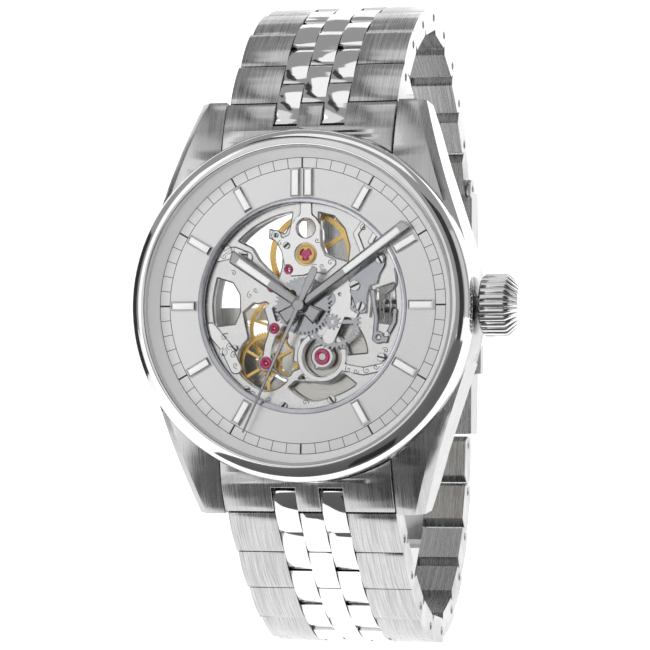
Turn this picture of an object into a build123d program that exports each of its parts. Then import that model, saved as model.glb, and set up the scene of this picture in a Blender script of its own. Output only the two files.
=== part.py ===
from build123d import *
from math import atan2, cos, degrees, hypot, pi, radians, sin
import os

# Skeleton wristwatch, millimetres. +Z points to 12 o'clock, +X to the crown at 3 o'clock and
# -Y out of the dial. The origin is the centre of the caseback window's flat outer face.
# Depths are measured from the dial's front towards the wrist, and depth() gives their Y.

# ---- driving dimensions ----
DIAL_TO_BACK = 8.2
BEZEL_R = 20.5
CASE_R = 20.45
BEZEL_BORE_R = 18.5
MOVEMENT_R = 12.8
OPENING_R = 11.95
CASE_TOP = 0.5
CASE_BOTTOM = 6.9
LUG_TIP_Z = 24.2
LUG_GAP_HALF = 10.45
CROWN_DEPTH = 3.9
CROWN_R = 3.65

# hands, clockwise from 12, as they stand at rest
HOUR_ANGLE = 304.3
MINUTE_ANGLE = 53.8
SECONDS_ANGLE = 204.3

# movement: pivot centres (x, z)
CENTRE = (0.0, 0.0)
THIRD = (-3.6, -2.6)
INTERMEDIATE = (-4.6, -6.66)
BARREL = (2.2, -5.9)
ESCAPE = (-3.9, 2.2)
PALLET = (-1.9, 4.25)
BALANCE = (0.2, 6.0)
MINUTE_WORK = (3.6, -1.88)

# movement: layers as (front depth, back depth)
HOUR_WHEEL_LAYER = (0.5, 0.7)
MINUTE_WHEEL_LAYER = (0.82, 0.97)
PLATE_LAYER = (1.1, 1.9)
CENTRE_LAYER = (2.25, 2.45)
ESCAPE_LAYER = (2.85, 3.0)
DRUM_LAYER = (2.55, 3.75)
THIRD_LAYER = (3.9, 4.05)
FOURTH_LAYER = (4.25, 4.4)
BRIDGE_LAYER = (4.75, 5.15)
RIM_R = 12.1
ARBOR_R = 0.1
JEWEL_BORE_R = 0.15

# bracelet
PIN_START = (5.0, 22.4)
SPRING_BAR_R = 0.7
NOSE = 1.1
LINK_OUT = 1.6
LINK_IN = 1.5
LINK_GAP = 0.12
CENTRE_HALF = 1.42
MIDDLE_COLUMN = (1.5, 4.27)
OUTER_FROM = 4.35
PIN_R = 0.5
PIN_PLAY = 0.07
ROW_PIN_R = 0.45
PRESS_GAP = 0.01
END_LINK_HEADING = 70
UPPER_PITCH = 5.9
LOWER_PITCH = 5.95
UPPER_HEADINGS = [54, 47, 30, 15, -15, -33, -47, -56, -68]
LOWER_HEADINGS = [51, 47, 39, 26, 8, -23, -42, -56, -71, -84]
END_HALF_WIDTH = 10.3
CLASP_HALF_WIDTH = 9.3
MIDDLE_TILT = 0.3

# clasp: depth and z of its two folding pivots, and its plates' depths
FOLD_PIVOT = (43.55, 12.0)
COVER_PIVOT = (44.3, -11.6)
COVER_SPAN = (-14.4, 16.2)
COVER_INNER = 45.5
COVER_THICK = 1.2
CHEEK = (9.45, 10.0)
BLADE_HALF = 4.3
KNUCKLE_HALF = 2.1
PUSHER_Z = -5.0

os.makedirs("parts", exist_ok=True)


# ---- helpers ----
def depth(d):
    return d - DIAL_TO_BACK


def slab(sketch, front, back):
    """A flat piece parallel to the dial, from one depth to another."""
    plane = Plane((0, depth(back), 0), x_dir=(1, 0, 0), z_dir=(0, -1, 0))
    return extrude(plane * sketch, amount=back - front)


def disc(centre, r, front, back):
    return slab(Pos(*centre) * Circle(r), front, back)


def tube(centre, r_out, r_in, front, back):
    return slab(Pos(*centre) * (Circle(r_out) - Circle(r_in)), front, back)


def turned(points):
    """A ring turned about the hand axis from (radius, depth) points."""
    outline = Polyline(*[(r, depth(d)) for r, d in points], close=True)
    return revolve(make_face(outline), axis=Axis.Y)


def cross_prism(face_yz, x0, x1):
    """A prism across the bracelet, from a face drawn in Y and Z."""
    return extrude(Plane.YZ.offset(x0) * face_yz, amount=x1 - x0)


def rod(d, z, r, x0, x1):
    """A round rod along X at a depth and height."""
    return cross_prism(Pos(depth(d), z) * Circle(r), x0, x1)


def both_sides(solid):
    return [solid, mirror(solid, about=Plane.YZ)]


def arm(p, q, width):
    """A straight round-ended arm between two points of a plate."""
    length = hypot(q[0] - p[0], q[1] - p[1])
    middle = ((p[0] + q[0]) / 2, (p[1] + q[1]) / 2)
    turn = degrees(atan2(q[1] - p[1], q[0] - p[0]))
    return Pos(*middle) * (Rot(0, 0, turn) * SlotCenterToCenter(length, width))


def polar(r, angle):
    return (r * cos(radians(angle)), r * sin(radians(angle)))


def outline(points):
    return make_face(Polyline(*points, close=True))


def gear(centre, teeth, pitch_r, first=0.0):
    """A watch gear's outline; its first tooth is centred at the given angle in degrees."""
    module = 2 * pitch_r / teeth
    root, tip = pitch_r - 1.15 * module, pitch_r + 0.9 * module
    points = []
    for i in range(teeth):
        middle = first + 360 * i / teeth
        step = 360 / teeth
        for r, part in ((root, -0.32), (tip, -0.12), (tip, 0.12), (root, 0.32)):
            points.append(polar(r, middle + part * step))
    return Pos(*centre) * outline(points)


def meshed(a, teeth_a, first_a, b, teeth_b):
    """First-tooth angle of gear b, so that a tooth of a stands in its gap."""
    line = degrees(atan2(b[1] - a[1], b[0] - a[0]))
    share = ((line - first_a) * teeth_a / 360) % 1
    return line + 180 + (share + 0.5) * 360 / teeth_b


def pitch_radii(a, b, teeth_a, teeth_b):
    apart = hypot(b[0] - a[0], b[1] - a[1])
    return apart * teeth_a / (teeth_a + teeth_b), apart * teeth_b / (teeth_a + teeth_b)


def spoked(centre, teeth, pitch_r, first, spokes, rim=0.55, hub=0.75, spoke=0.34):
    """A toothed wheel's outline with open sectors between its spokes."""
    wheel = gear(centre, teeth, pitch_r, first) - Pos(*centre) * Circle(pitch_r - rim)
    wheel += Pos(*centre) * Circle(hub)
    for i in range(spokes):
        tip = polar(pitch_r - rim / 2, 90 + 360 * i / spokes)
        wheel += arm(centre, (centre[0] + tip[0], centre[1] + tip[1]), spoke)
    return wheel


def arbor(centre, front, back, r=ARBOR_R):
    return disc(centre, r, front, back)


def save(shape, node):
    if isinstance(shape, list):
        shape = Compound(children=shape)
    export_step(shape, f"parts/{node}.step")


# ---- case ----
def case_side():
    """Lug side view in Y and Z, both ends."""
    top, bottom = depth(0.75), depth(CASE_BOTTOM)
    tip, heel = depth(4.2), depth(7.7)
    upper = [
        ThreePointArc((top, 12), (depth(1.95), 18.9), (tip, LUG_TIP_Z)),
        Polyline((tip, LUG_TIP_Z), (heel, 23.7), (heel, 20.5), (bottom, 16.5)),
    ]
    lower = [
        ThreePointArc((top, -12), (depth(1.95), -18.9), (tip, -LUG_TIP_Z)),
        Polyline((tip, -LUG_TIP_Z), (heel, -23.7), (heel, -20.5), (bottom, -16.5)),
    ]
    joins = [Line((top, 12), (top, -12)), Line((bottom, 16.5), (bottom, -16.5))]
    return make_face(upper + lower + joins)


def lug_plan():
    plan = Sketch()
    for sx in (1, -1):
        for sz in (1, -1):
            corners = [(LUG_GAP_HALF, 9), (LUG_GAP_HALF, 25), (13.3, 25), (19.35, 6.6)]
            plan += outline([(sx * x, sz * z) for x, z in corners])
    return plan


def on_lug_bevel(edge):
    """The long upper edge along a lug's outer side."""
    middle = edge @ 0.5
    x, z = abs(middle.X), abs(middle.Z)
    side_x = 13.3 + (25 - z) * (19.35 - 13.3) / (25 - 6.6)
    straight_in = abs(edge.tangent_at(0.5).Y) > 0.95
    return abs(x - side_x) < 0.02 and middle.Y < depth(4.2) and z > 9 and not straight_in


def mid_case():
    lugs = slab(lug_plan(), -1, 9) & cross_prism(case_side(), -22, 22)
    lugs = chamfer(lugs.edges().filter_by(on_lug_bevel), 0.9)
    band = turned([(0, CASE_TOP), (CASE_R - 0.2, CASE_TOP), (CASE_R, 0.7), (CASE_R, 6.2),
                   (CASE_R - 0.7, CASE_BOTTOM), (0, CASE_BOTTOM)])
    case = band + lugs
    case -= disc(CENTRE, MOVEMENT_R + 0.15, 0, 7)
    case -= disc(CENTRE, 17.6, 6.2, 8)
    case -= turned([(16.2, 5.7), (16.9, 5.7), (16.9, 6.2), (16.2, 6.2)])
    case -= rod(CROWN_DEPTH, 0, 1.2, 11, 21)
    for z in (PIN_START[1], -PIN_START[1]):
        case -= rod(PIN_START[0], z, SPRING_BAR_R + 0.03, -12.2, 12.2)
    tube_ring = rod(CROWN_DEPTH, 0, 1.2, 17.5, 22.2) - rod(CROWN_DEPTH, 0, 0.7, 17, 23)
    return [case, tube_ring]


def bezel():
    dome = [
        ThreePointArc((18.5, depth(-2.3)), (19.85, depth(-1.8)), (BEZEL_R, depth(-0.4))),
        Polyline((BEZEL_R, depth(-0.4)), (BEZEL_R, depth(CASE_TOP)),
                 (BEZEL_BORE_R, depth(CASE_TOP)), (BEZEL_BORE_R, depth(-2.3))),
    ]
    return revolve(make_face(dome), axis=Axis.Y)


def crystal():
    return turned([(0, -2.6), (17.9, -2.6), (18.2, -2.35), (18.2, -1.5), (0, -1.5)])


def gaskets():
    front = turned([(18.2, -2.2), (18.5, -2.2), (18.5, -1.5), (18.2, -1.5)])
    back = turned([(16.2, 5.7), (16.9, 5.7), (16.9, 6.2), (16.2, 6.2)])
    return [front, back]


def rehaut_ring():
    return turned([(17.3, 0), (18.4, 0), (18.4, -1.5), (18.25, -1.5), (17.3, -0.12)])


def dial():
    plate = slab(Circle(18.3) - Circle(12.3), 0, CASE_TOP)
    lip = turned([(OPENING_R, 0.62), (OPENING_R, 0.1), (12.2, -0.12), (12.5, -0.12),
                  (12.6, 0), (12.6, 0.5), (12.3, 0.62)])
    return plate + lip


def baton(angle, offset=0.0, width=1.1, length=3.0, middle_r=14.3):
    block = slab(Pos(offset, middle_r) * Rectangle(width, length), -0.45, 0)
    front = block.faces().sort_by(Axis.Y)[0]
    block = chamfer(front.edges(), 0.18)
    return Rot(0, angle, 0) * block


def hour_indices():
    batons = [baton(30 * hour) for hour in (1, 2, 3, 4, 5, 7, 8, 9, 10, 11)]
    return batons + [baton(0, side * 0.78, 1.15, 3.3) for side in (1, -1)]


def caseback():
    ring = turned([(12.4, 7.0), (11.8, 7.0), (11.8, 6.3), (17.55, 6.2), (17.55, CASE_BOTTOM),
                   (18.7, CASE_BOTTOM), (18.7, 7.3), (17.9, 8.1), (12.4, 8.1)])
    for i in range(6):
        notch = Pos(*polar(17.6, 30 + 60 * i)) * Rot(0, 0, 30 + 60 * i) * Rectangle(2.2, 2.6)
        ring -= slab(notch, 7.4, 9)
    return ring


def caseback_crystal():
    return turned([(0, 7.0), (12.4, 7.0), (12.4, 8.0), (12.2, 8.2), (0, 8.2)])


# ---- hands ----
def hand(angle, body, bar, layer, hub_r, bore_r):
    """A flat hand with a raised bar, drawn towards 12 and turned to its angle."""
    front, back = layer
    shape = outline(body) + Circle(hub_r) - Circle(bore_r)
    solid = slab(shape, front, back) + slab(bar, front - 0.06, front + 0.02)
    return Rot(0, angle, 0) * solid


def hour_hand():
    body = [(-0.5, 0), (-0.78, 9.6), (0, 10.5), (0.78, 9.6), (0.5, 0), (1.0, -2.5), (-1.0, -2.5)]
    return hand(HOUR_ANGLE, body, Pos(0, 6.9) * Rectangle(0.72, 4.6), (-0.56, -0.34), 1.15, 0.65)


def minute_hand():
    body = [(-0.48, 0), (-0.72, 15.1), (0, 16), (0.72, 15.1), (0.48, 0), (0.95, -2.6),
            (-0.95, -2.6)]
    return hand(MINUTE_ANGLE, body, Pos(0, 10.6) * Rectangle(0.66, 8.0), (-0.98, -0.76), 0.95, 0.36)


def seconds_hand():
    body = [(-0.26, 0), (-0.1, 16.2), (0.1, 16.2), (0.26, 0), (0.48, -3.2), (0.4, -4.8),
            (-0.4, -4.8), (-0.48, -3.2)]
    shape = outline(body) + Circle(0.75)
    return Rot(0, SECONDS_ANGLE, 0) * slab(shape, -1.36, -1.2)


# ---- motion works and going train ----
FOURTH_FIRST, HOUR_FIRST, CENTRE_FIRST = 0.0, 0.0, 0.0
HOUR_R, MINUTE_PINION_R = pitch_radii(CENTRE, MINUTE_WORK, 40, 10)
CANNON_R, MINUTE_R = pitch_radii(CENTRE, MINUTE_WORK, 12, 36)
CENTRE_R, THIRD_PINION_R = pitch_radii(CENTRE, THIRD, 75, 10)
THIRD_R, FOURTH_PINION_R = pitch_radii(THIRD, CENTRE, 80, 10)
INTERMEDIATE_R, _ = pitch_radii(INTERMEDIATE, THIRD, 70, 10)
INTERMEDIATE_PINION_R, BARREL_R = pitch_radii(INTERMEDIATE, BARREL, 22, 84)
FOURTH_R, ESCAPE_PINION_R = pitch_radii(CENTRE, ESCAPE, 84, 7)


def hour_wheel():
    wheel = gear(CENTRE, 40, HOUR_R, HOUR_FIRST) - Circle(0.42)
    for i in range(4):
        wheel -= Pos(*polar(1.85, 45 + 90 * i)) * Circle(0.55)
    return slab(wheel, *HOUR_WHEEL_LAYER) + tube(CENTRE, 0.65, 0.42, -0.6, 0.7)


def minute_wheel():
    pinion_first = meshed(CENTRE, 40, HOUR_FIRST, MINUTE_WORK, 10)
    wheel_first = meshed(CENTRE, 12, CENTRE_FIRST, MINUTE_WORK, 36)
    bore = Pos(*MINUTE_WORK) * Circle(0.3)
    wheel = spoked(MINUTE_WORK, 36, MINUTE_R, wheel_first, 4, rim=0.6, hub=0.9, spoke=0.45)
    pinion = gear(MINUTE_WORK, 10, MINUTE_PINION_R, pinion_first)
    return slab(wheel - bore, *MINUTE_WHEEL_LAYER) + slab(pinion - bore, 0.5, 0.97)


def centre_wheel():
    wheel = spoked(CENTRE, 75, CENTRE_R, CENTRE_FIRST, 5, hub=1.0) - Circle(0.18)
    cannon = gear(CENTRE, 12, CANNON_R, CENTRE_FIRST) - Circle(0.18)
    pipe = tube(CENTRE, 0.36, 0.18, -1.02, 2.45)
    return slab(wheel, *CENTRE_LAYER) + slab(cannon, 0.8, 1.0) + pipe


THIRD_FIRST = meshed(CENTRE, 75, CENTRE_FIRST, THIRD, 10)


def third_wheel():
    wheel = spoked(THIRD, 80, THIRD_R, 0.0, 5)
    pinion = gear(THIRD, 10, THIRD_PINION_R, THIRD_FIRST)
    solid = slab(wheel, *THIRD_LAYER) + slab(pinion, 2.15, 2.6)
    return solid + arbor(THIRD, 1.2, 5.05)


def intermediate_wheel():
    first = meshed(THIRD, 10, THIRD_FIRST, INTERMEDIATE, 70)
    wheel = spoked(INTERMEDIATE, 70, INTERMEDIATE_R, first, 6, rim=0.6, hub=0.95)
    pinion = gear(INTERMEDIATE, 22, INTERMEDIATE_PINION_R, 0.0)
    solid = slab(wheel, *CENTRE_LAYER) + slab(pinion, 2.45, 2.95)
    return solid + arbor(INTERMEDIATE, 1.2, 5.05)


def barrel():
    first = meshed(INTERMEDIATE, 22, 0.0, BARREL, 84)
    drum = disc(BARREL, BARREL_R - 0.3, *DRUM_LAYER) - disc(BARREL, BARREL_R - 0.6, 2.8, 3.5)
    drum += slab(gear(BARREL, 84, BARREL_R, first) - Pos(*BARREL) * Circle(BARREL_R - 0.6), 2.65, 2.9)
    return drum + arbor(BARREL, 1.2, 5.05, 0.4)


def fourth_wheel():
    wheel = spoked(CENTRE, 84, FOURTH_R, FOURTH_FIRST, 4)
    pinion_first = meshed(THIRD, 80, 0.0, CENTRE, 10)
    pinion = gear(CENTRE, 10, FOURTH_PINION_R, pinion_first)
    solid = slab(wheel, *FOURTH_LAYER) + slab(pinion, 3.85, 4.25)
    return solid + arbor(CENTRE, -1.3, 5.05, 0.12)


def escape_wheel():
    """Twenty long, hooked teeth on a light wheel."""
    points = []
    for i in range(20):
        angle = 18 * i
        for r, part in ((1.62, -7.5), (1.72, -1.5), (2.12, 2.6), (2.12, 3.8), (1.6, 1.0)):
            points.append(polar(r, angle + part))
    wheel = Pos(*ESCAPE) * (outline(points) - Circle(1.35) + Circle(0.4))
    for i in range(4):
        tip = polar(1.45, 90 * i)
        wheel += arm(ESCAPE, (ESCAPE[0] + tip[0], ESCAPE[1] + tip[1]), 0.22)
    first = meshed(CENTRE, 84, FOURTH_FIRST, ESCAPE, 7)
    pinion = slab(gear(ESCAPE, 7, ESCAPE_PINION_R, first), 4.15, 4.5)
    return slab(wheel, *ESCAPE_LAYER) + pinion + arbor(ESCAPE, 1.2, 5.05)


def pallet_fork():
    """Lever with two pallet arms towards the escape wheel and a fork at the balance."""
    to_balance = degrees(atan2(BALANCE[1] - PALLET[1], BALANCE[0] - PALLET[0]))
    to_escape = degrees(atan2(ESCAPE[1] - PALLET[1], ESCAPE[0] - PALLET[0]))
    shape = Circle(0.34) + arm((0, 0), polar(1.65, to_balance), 0.26)
    for side in (14, -14):
        shape += arm(polar(1.6, to_balance), polar(2.05, to_balance + side / 2), 0.16)
    for side in (62, -62):
        shape += arm((0, 0), polar(1.05, to_escape + side), 0.26)
    return slab(Pos(*PALLET) * shape, 2.87, 3.05) + arbor(PALLET, 1.2, 3.2)


def balance_wheel():
    rim = Circle(5.0) - Circle(4.4)
    wheel = Circle(0.7)
    for angle in (30, 150, 270):
        wheel += arm((0, 0), polar(4.6, angle), 0.5)
    solid = slab(Pos(*BALANCE) * wheel, 3.35, 3.65)
    solid += slab(Pos(*BALANCE) * rim, 3.25, 3.75)
    return solid + disc(BALANCE, 0.32, 2.8, 3.1) + arbor(BALANCE, 1.45, 4.5, 0.13)


def hairspring():
    """A flat spiral ribbon with its collet."""
    turns, steps, start_r, end_r, half = 4.5, 36, 0.55, 1.65, 0.04
    inner, outer = [], []
    for i in range(int(turns * steps) + 1):
        r = start_r + (end_r - start_r) * i / (turns * steps)
        inner.append(polar(r - half, 360 * i / steps))
        outer.append(polar(r + half, 360 * i / steps))
    ribbon = outline(inner + outer[::-1])
    collet = Circle(0.56) - Circle(0.13)
    return slab(Pos(*BALANCE) * (ribbon + collet), 3.85, 4.05)


# ---- movement frame ----
JEWEL_SEATS = [(INTERMEDIATE, 0.62), (THIRD, 0.5), (ESCAPE, 0.45), (PALLET, 0.42),
               (BARREL, 0.8)]
PLATE_ARMS = [
    ((0.2, 6.0), (0.6, 11.8), 2.2), ((0.2, 6.0), PALLET, 1.3), (PALLET, ESCAPE, 1.2),
    (ESCAPE, (-8.2, 5.6), 1.3), ((-8.2, 5.6), (-9.6, 7.0), 2.0), (ESCAPE, (-5.6, 0.2), 1.2),
    ((-5.6, 0.2), THIRD, 1.2), (CENTRE, THIRD, 1.5), (THIRD, INTERMEDIATE, 1.0),
    (INTERMEDIATE, (-6.9, -9.6), 1.6), ((-5.6, 0.2), (-8.9, -4.6), 1.1),
    ((-8.9, -4.6), (-10.4, -5.8), 1.8), (CENTRE, MINUTE_WORK, 1.5), (MINUTE_WORK, (7.6, -3.4), 1.4),
    (BARREL, (3.6, -11.4), 1.5), (BARREL, MINUTE_WORK, 1.3), (BARREL, (8.6, -7.9), 1.3),
    (BARREL, (-1.2, -11.2), 1.2), (CENTRE, (4.2, 4.4), 1.4), ((4.2, 4.4), (8.2, 5.6), 1.6),
    ((4.2, 4.4), (4.6, 10.6), 1.1),
]
SCREWS = [(6.2, 2.3), (6.9, -0.1), (9.2, 5.3), (9.4, -6.0), (-9.2, 6.6), (-9.7, -5.3), (3.4, -10.9)]


def ring_sketch(centre, r_out, r_in):
    return Pos(*centre) * (Circle(r_out) - Circle(r_in))


def main_plate():
    """The skeletonised plate: a rim with a wall behind it, and arms to every pivot."""
    plate = Circle(MOVEMENT_R) - Circle(11.25)
    for p, q, width in PLATE_ARMS:
        plate += arm(p, q, width)
    for centre, r in JEWEL_SEATS:
        plate += Pos(*centre) * Circle(r + 0.55)
    plate += Pos(*BALANCE) * Circle(1.9) + Circle(1.5)
    plate += ring_sketch(BARREL, 3.0, 2.3)
    keyless_base = [(6.6, 3.6), (8.2, 6.6), (10.2, 6.2), (11.6, 3.6), (11.6, -4.6), (9.6, -7.2),
                    (7.4, -5.6), (7.0, -2.4)]
    plate += outline(keyless_base)
    plate -= Pos(9.7, 0) * Rectangle(2.6, 2.4)
    for centre, r in JEWEL_SEATS:
        plate -= Pos(*centre) * Circle(r)
    plate -= Pos(*BALANCE) * Circle(1.0)
    plate -= Circle(0.44)
    solid = slab(plate, *PLATE_LAYER) + tube(CENTRE, MOVEMENT_R, RIM_R, 1.9, 4.75)
    solid -= rod(CROWN_DEPTH, 0, 0.7, 11, 13)
    return solid + disc(MINUTE_WORK, 0.24, 0.45, 1.2)


BACK_JEWELS = [(INTERMEDIATE, 0.5), (THIRD, 0.5), (ESCAPE, 0.45), (BARREL, 0.8), (CENTRE, 0.6)]


def train_bridge():
    bridge = Circle(MOVEMENT_R) - Circle(11.3)
    runs = [(CENTRE, THIRD), (THIRD, INTERMEDIATE), (INTERMEDIATE, (-6.9, -9.8)), (CENTRE, ESCAPE),
            (ESCAPE, (-10.2, 5.8)), (CENTRE, BARREL), (BARREL, (3.8, -11.6)), (BARREL, (9.4, -7.4)),
            (CENTRE, (11.6, 3.2))]
    for p, q in runs:
        bridge += arm(p, q, 1.6)
    for centre, r in BACK_JEWELS:
        bridge += Pos(*centre) * Circle(r + 0.6)
    for centre, r in BACK_JEWELS:
        bridge -= Pos(*centre) * Circle(r)
    post = tube(CENTRE, 0.85, 0.6, 5.15, 6.25)
    return slab(bridge, *BRIDGE_LAYER) + post


def balance_cock():
    cock = arm(BALANCE, (0.2, 10.6), 1.8) + Pos(*BALANCE) * Circle(1.15)
    cock += Pos(0.2, 10.9) * Rectangle(5.0, 1.6)
    cock -= Pos(*BALANCE) * Circle(JEWEL_BORE_R)
    return slab(cock, 4.46, 4.74)


def jewels():
    front = [tube(c, r, 0.43 if c == BARREL else JEWEL_BORE_R, 1.15, 1.85) for c, r in JEWEL_SEATS]
    holes = {BARREL: 0.43, CENTRE: 0.16}
    back = [tube(c, r, holes.get(c, JEWEL_BORE_R), 4.8, 5.1) for c, r in BACK_JEWELS]
    return front + back


def shock_setting():
    """The balance's sprung bearing: chaton, cap jewel and lyre-shaped spring."""
    chaton = tube(BALANCE, 1.0, 0.16, 1.3, 1.85)
    cap = disc(BALANCE, 0.5, 1.0, 1.3)
    lyre = Circle(0.95) - Circle(0.72) + arm((-0.8, 0), (-0.45, 0), 0.14)
    lyre += arm((0.8, 0), (0.45, 0), 0.14) + arm((0, 0.85), (0, 1.25), 0.5)
    return [chaton, cap, slab(Pos(*BALANCE) * lyre, 0.98, 1.1)]


def screw(centre, r=0.62, front=0.42, back=0.7, turn=35):
    slot = Pos(*centre) * Rot(0, 0, turn) * Rectangle(2 * r + 0.2, 0.2)
    return disc(centre, r, front, back) - slab(slot, front - 0.1, front + 0.12)


def movement_screws():
    solids = []
    for i, centre in enumerate(SCREWS):
        seat = 0.72 if i < 4 else PLATE_LAYER[0]
        solids.append(screw(centre, front=seat - 0.26, back=seat, turn=25 + 40 * i))
    return solids


def keyless_works():
    """Setting lever plate, yoke and their two springs, side by side on the plate's front."""
    lever_plate = outline([(5.9, 1.7), (6.1, 3.1), (8.4, 4.6), (9.0, 6.1), (10.2, 5.2), (9.3, 3.3),
                           (7.8, 2.2), (7.6, -0.9), (6.9, -1.0), (6.3, -0.4), (6.9, 0.8)])
    yoke = arm((8.6, -3.9), (8.9, -1.6), 0.7) + arm((8.9, -1.6), (8.2, -0.9), 0.5)
    yoke += arm((8.6, -3.9), (10.6, -4.6), 0.8) + Pos(9.4, -6.0) * Circle(0.9)
    yoke += arm((8.6, -3.9), (9.4, -6.0), 0.9)
    blades = arm((11.0, 3.9), (10.9, -2.4), 0.3) + arm((10.9, -2.4), (10.3, -3.4), 0.3)
    second = arm((9.7, 3.2), (9.9, 1.5), 0.28) + arm((9.7, 3.2), (10.9, 4.3), 0.5)
    return [slab(lever_plate, 0.72, 1.1), slab(yoke, 0.72, 1.1), slab(blades + second, 0.8, 1.1)]


def rotor():
    """The winding weight: a half disc with openings, heavy at its rim."""
    lower_half = Pos(0, -7) * Rectangle(26, 14)
    weight = Circle(11.6) & lower_half
    window = (Circle(9.4) - Circle(3.6)) & (Pos(0, -8.0) * Rectangle(26, 13))
    for angle in (215, 270, 325):
        window -= arm(polar(3, angle), polar(10, angle), 1.7)
    body = weight - window + Circle(2.2) - Circle(0.92)
    rim = (Circle(11.6) - Circle(9.8)) & lower_half
    return slab(body, 5.35, 5.85) + slab(rim, 5.3, 6.2)


# ---- crown and stem ----
def crown():
    profile = [(20.8, 0), (20.8, CROWN_R - 0.35), (21.1, CROWN_R), (23.9, CROWN_R), (25.2, 2.3), (25.2, 0)]
    blank = revolve(outline(profile), axis=Axis.X)
    for i in range(26):
        groove = Pos(*polar(CROWN_R + 0.12, 360 * i / 26)) * Circle(0.3)
        blank -= extrude(Plane.YZ.offset(20) * groove, amount=6)
    blank -= extrude(Plane.YZ.offset(20) * Circle(1.35), amount=3)
    blank -= extrude(Plane.YZ.offset(20) * Circle(0.6), amount=3.8)
    return Pos(0, depth(CROWN_DEPTH), 0) * blank


def winding_stem():
    stem = rod(CROWN_DEPTH, 0, 0.6, 8.6, 23.8)
    return stem - (rod(CROWN_DEPTH, 0, 0.7, 11.4, 12.0) - rod(CROWN_DEPTH, 0, 0.45, 11.3, 12.1))


def sliding_pinion():
    teeth = gear((0, 0), 12, 0.78) - Circle(0.66)
    solid = extrude(Plane.YZ.offset(9.0) * teeth, amount=0.55)
    neck = Circle(0.76) - Circle(0.66)
    solid += extrude(Plane.YZ.offset(9.5) * neck, amount=0.5)
    solid += extrude(Plane.YZ.offset(9.95) * teeth, amount=0.6)
    return Pos(0, depth(CROWN_DEPTH), 0) * solid


# ---- bracelet ----
def chain(headings, pitch):
    """Pin positions (depth, z) along one half of the bracelet."""
    pins = [PIN_START]
    for heading in headings:
        d, z = pins[-1]
        pins.append((d + pitch * cos(radians(heading)), z + pitch * sin(radians(heading))))
    return pins


def link_face(start, end, top, edge, undercut):
    """Side view of a link piece: domed outside, flat inside with chamfered ends."""
    dome = ThreePointArc((start, edge), ((start + end) / 2, top), (end, edge))
    rest = Polyline((end, edge), (end, -0.3), (end - undercut, -LINK_IN),
                    (start + undercut, -LINK_IN), (start, -0.3), (start, edge))
    return make_face([dome, rest])


def pin_rod(u, r, x0, x1):
    return extrude(Plane.YZ.offset(x0) * (Pos(u, 0) * Circle(r)), amount=x1 - x0)


def link_row(pitch, half_width, bend, near_pin_r, last=False):
    """One row in its own frame: Y along the row from its near pin, Z outwards."""
    start, end = NOSE + LINK_GAP / 2, pitch + NOSE - LINK_GAP / 2
    row_pin_u = NOSE + 1.5
    face = link_face(start, end, LINK_OUT, 1.3, 0.75)
    outer = cross_prism(face, OUTER_FROM, half_width)
    centre = cross_prism(face, -CENTRE_HALF, CENTRE_HALF)
    half = pitch / 2 - LINK_GAP / 2
    middle = cross_prism(link_face(-half, half, 1.5, 1.1, 0.75), *MIDDLE_COLUMN)
    middle = Rot(bend * MIDDLE_TILT, 0, 0) * (Pos(0, NOSE, 0) * middle)
    middle -= pin_rod(0, near_pin_r + PIN_PLAY, 1, 5)
    row_bore, pin_bore = ROW_PIN_R + PRESS_GAP, PIN_R + PRESS_GAP
    row_pin_end = OUTER_FROM + 1.5
    middle -= pin_rod(row_pin_u, row_bore, 1, 5)
    outer -= pin_rod(row_pin_u, row_bore, 4, row_pin_end + PRESS_GAP)
    outer -= pin_rod(pitch, pin_bore, 4, 11)
    centre -= pin_rod(row_pin_u, row_bore, -2, 2)
    centre -= pin_rod(pitch, pin_bore, -2, 2)
    pieces = [centre, pin_rod(row_pin_u, ROW_PIN_R, -row_pin_end, row_pin_end),
              pin_rod(pitch, PIN_R, 0.4 - half_width, half_width - 0.4)]
    pieces += both_sides(outer) + both_sides(middle)
    if last:
        filler = cross_prism(link_face(NOSE + pitch / 2 + 0.06, end, 1.45, 1.2, 0.6), *MIDDLE_COLUMN)
        pieces += both_sides(filler - pin_rod(pitch, pin_bore, 1, 5))
    return Compound(children=pieces)


def placed_row(row, pin, heading, side):
    """Stand a row on the bracelet: side is 1 towards 12 o'clock, -1 towards 6."""
    place = Pos(0, depth(pin[0]), pin[1]) * Rot(heading, 0, 0)
    placed = [place * solid for solid in row.solids()]
    return placed if side == 1 else [mirror(solid, about=Plane.XY) for solid in placed]


def bracelet_half(name, headings, pitch, side, closed_end):
    pins = chain(headings, pitch)
    count = len(headings)
    for k, heading in enumerate(headings):
        share = (k + 1) / count
        half_width = END_HALF_WIDTH + (CLASP_HALF_WIDTH - END_HALF_WIDTH) * share
        bend = (headings[k - 1] if k else END_LINK_HEADING) - heading
        near_pin_r = PIN_R if k else SPRING_BAR_R
        last = closed_end and k == count - 1
        row = link_row(pitch, half_width, bend, near_pin_r, last)
        save(placed_row(row, pins[k], heading, side), f"{name}_link_{k + 1}")


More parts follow.
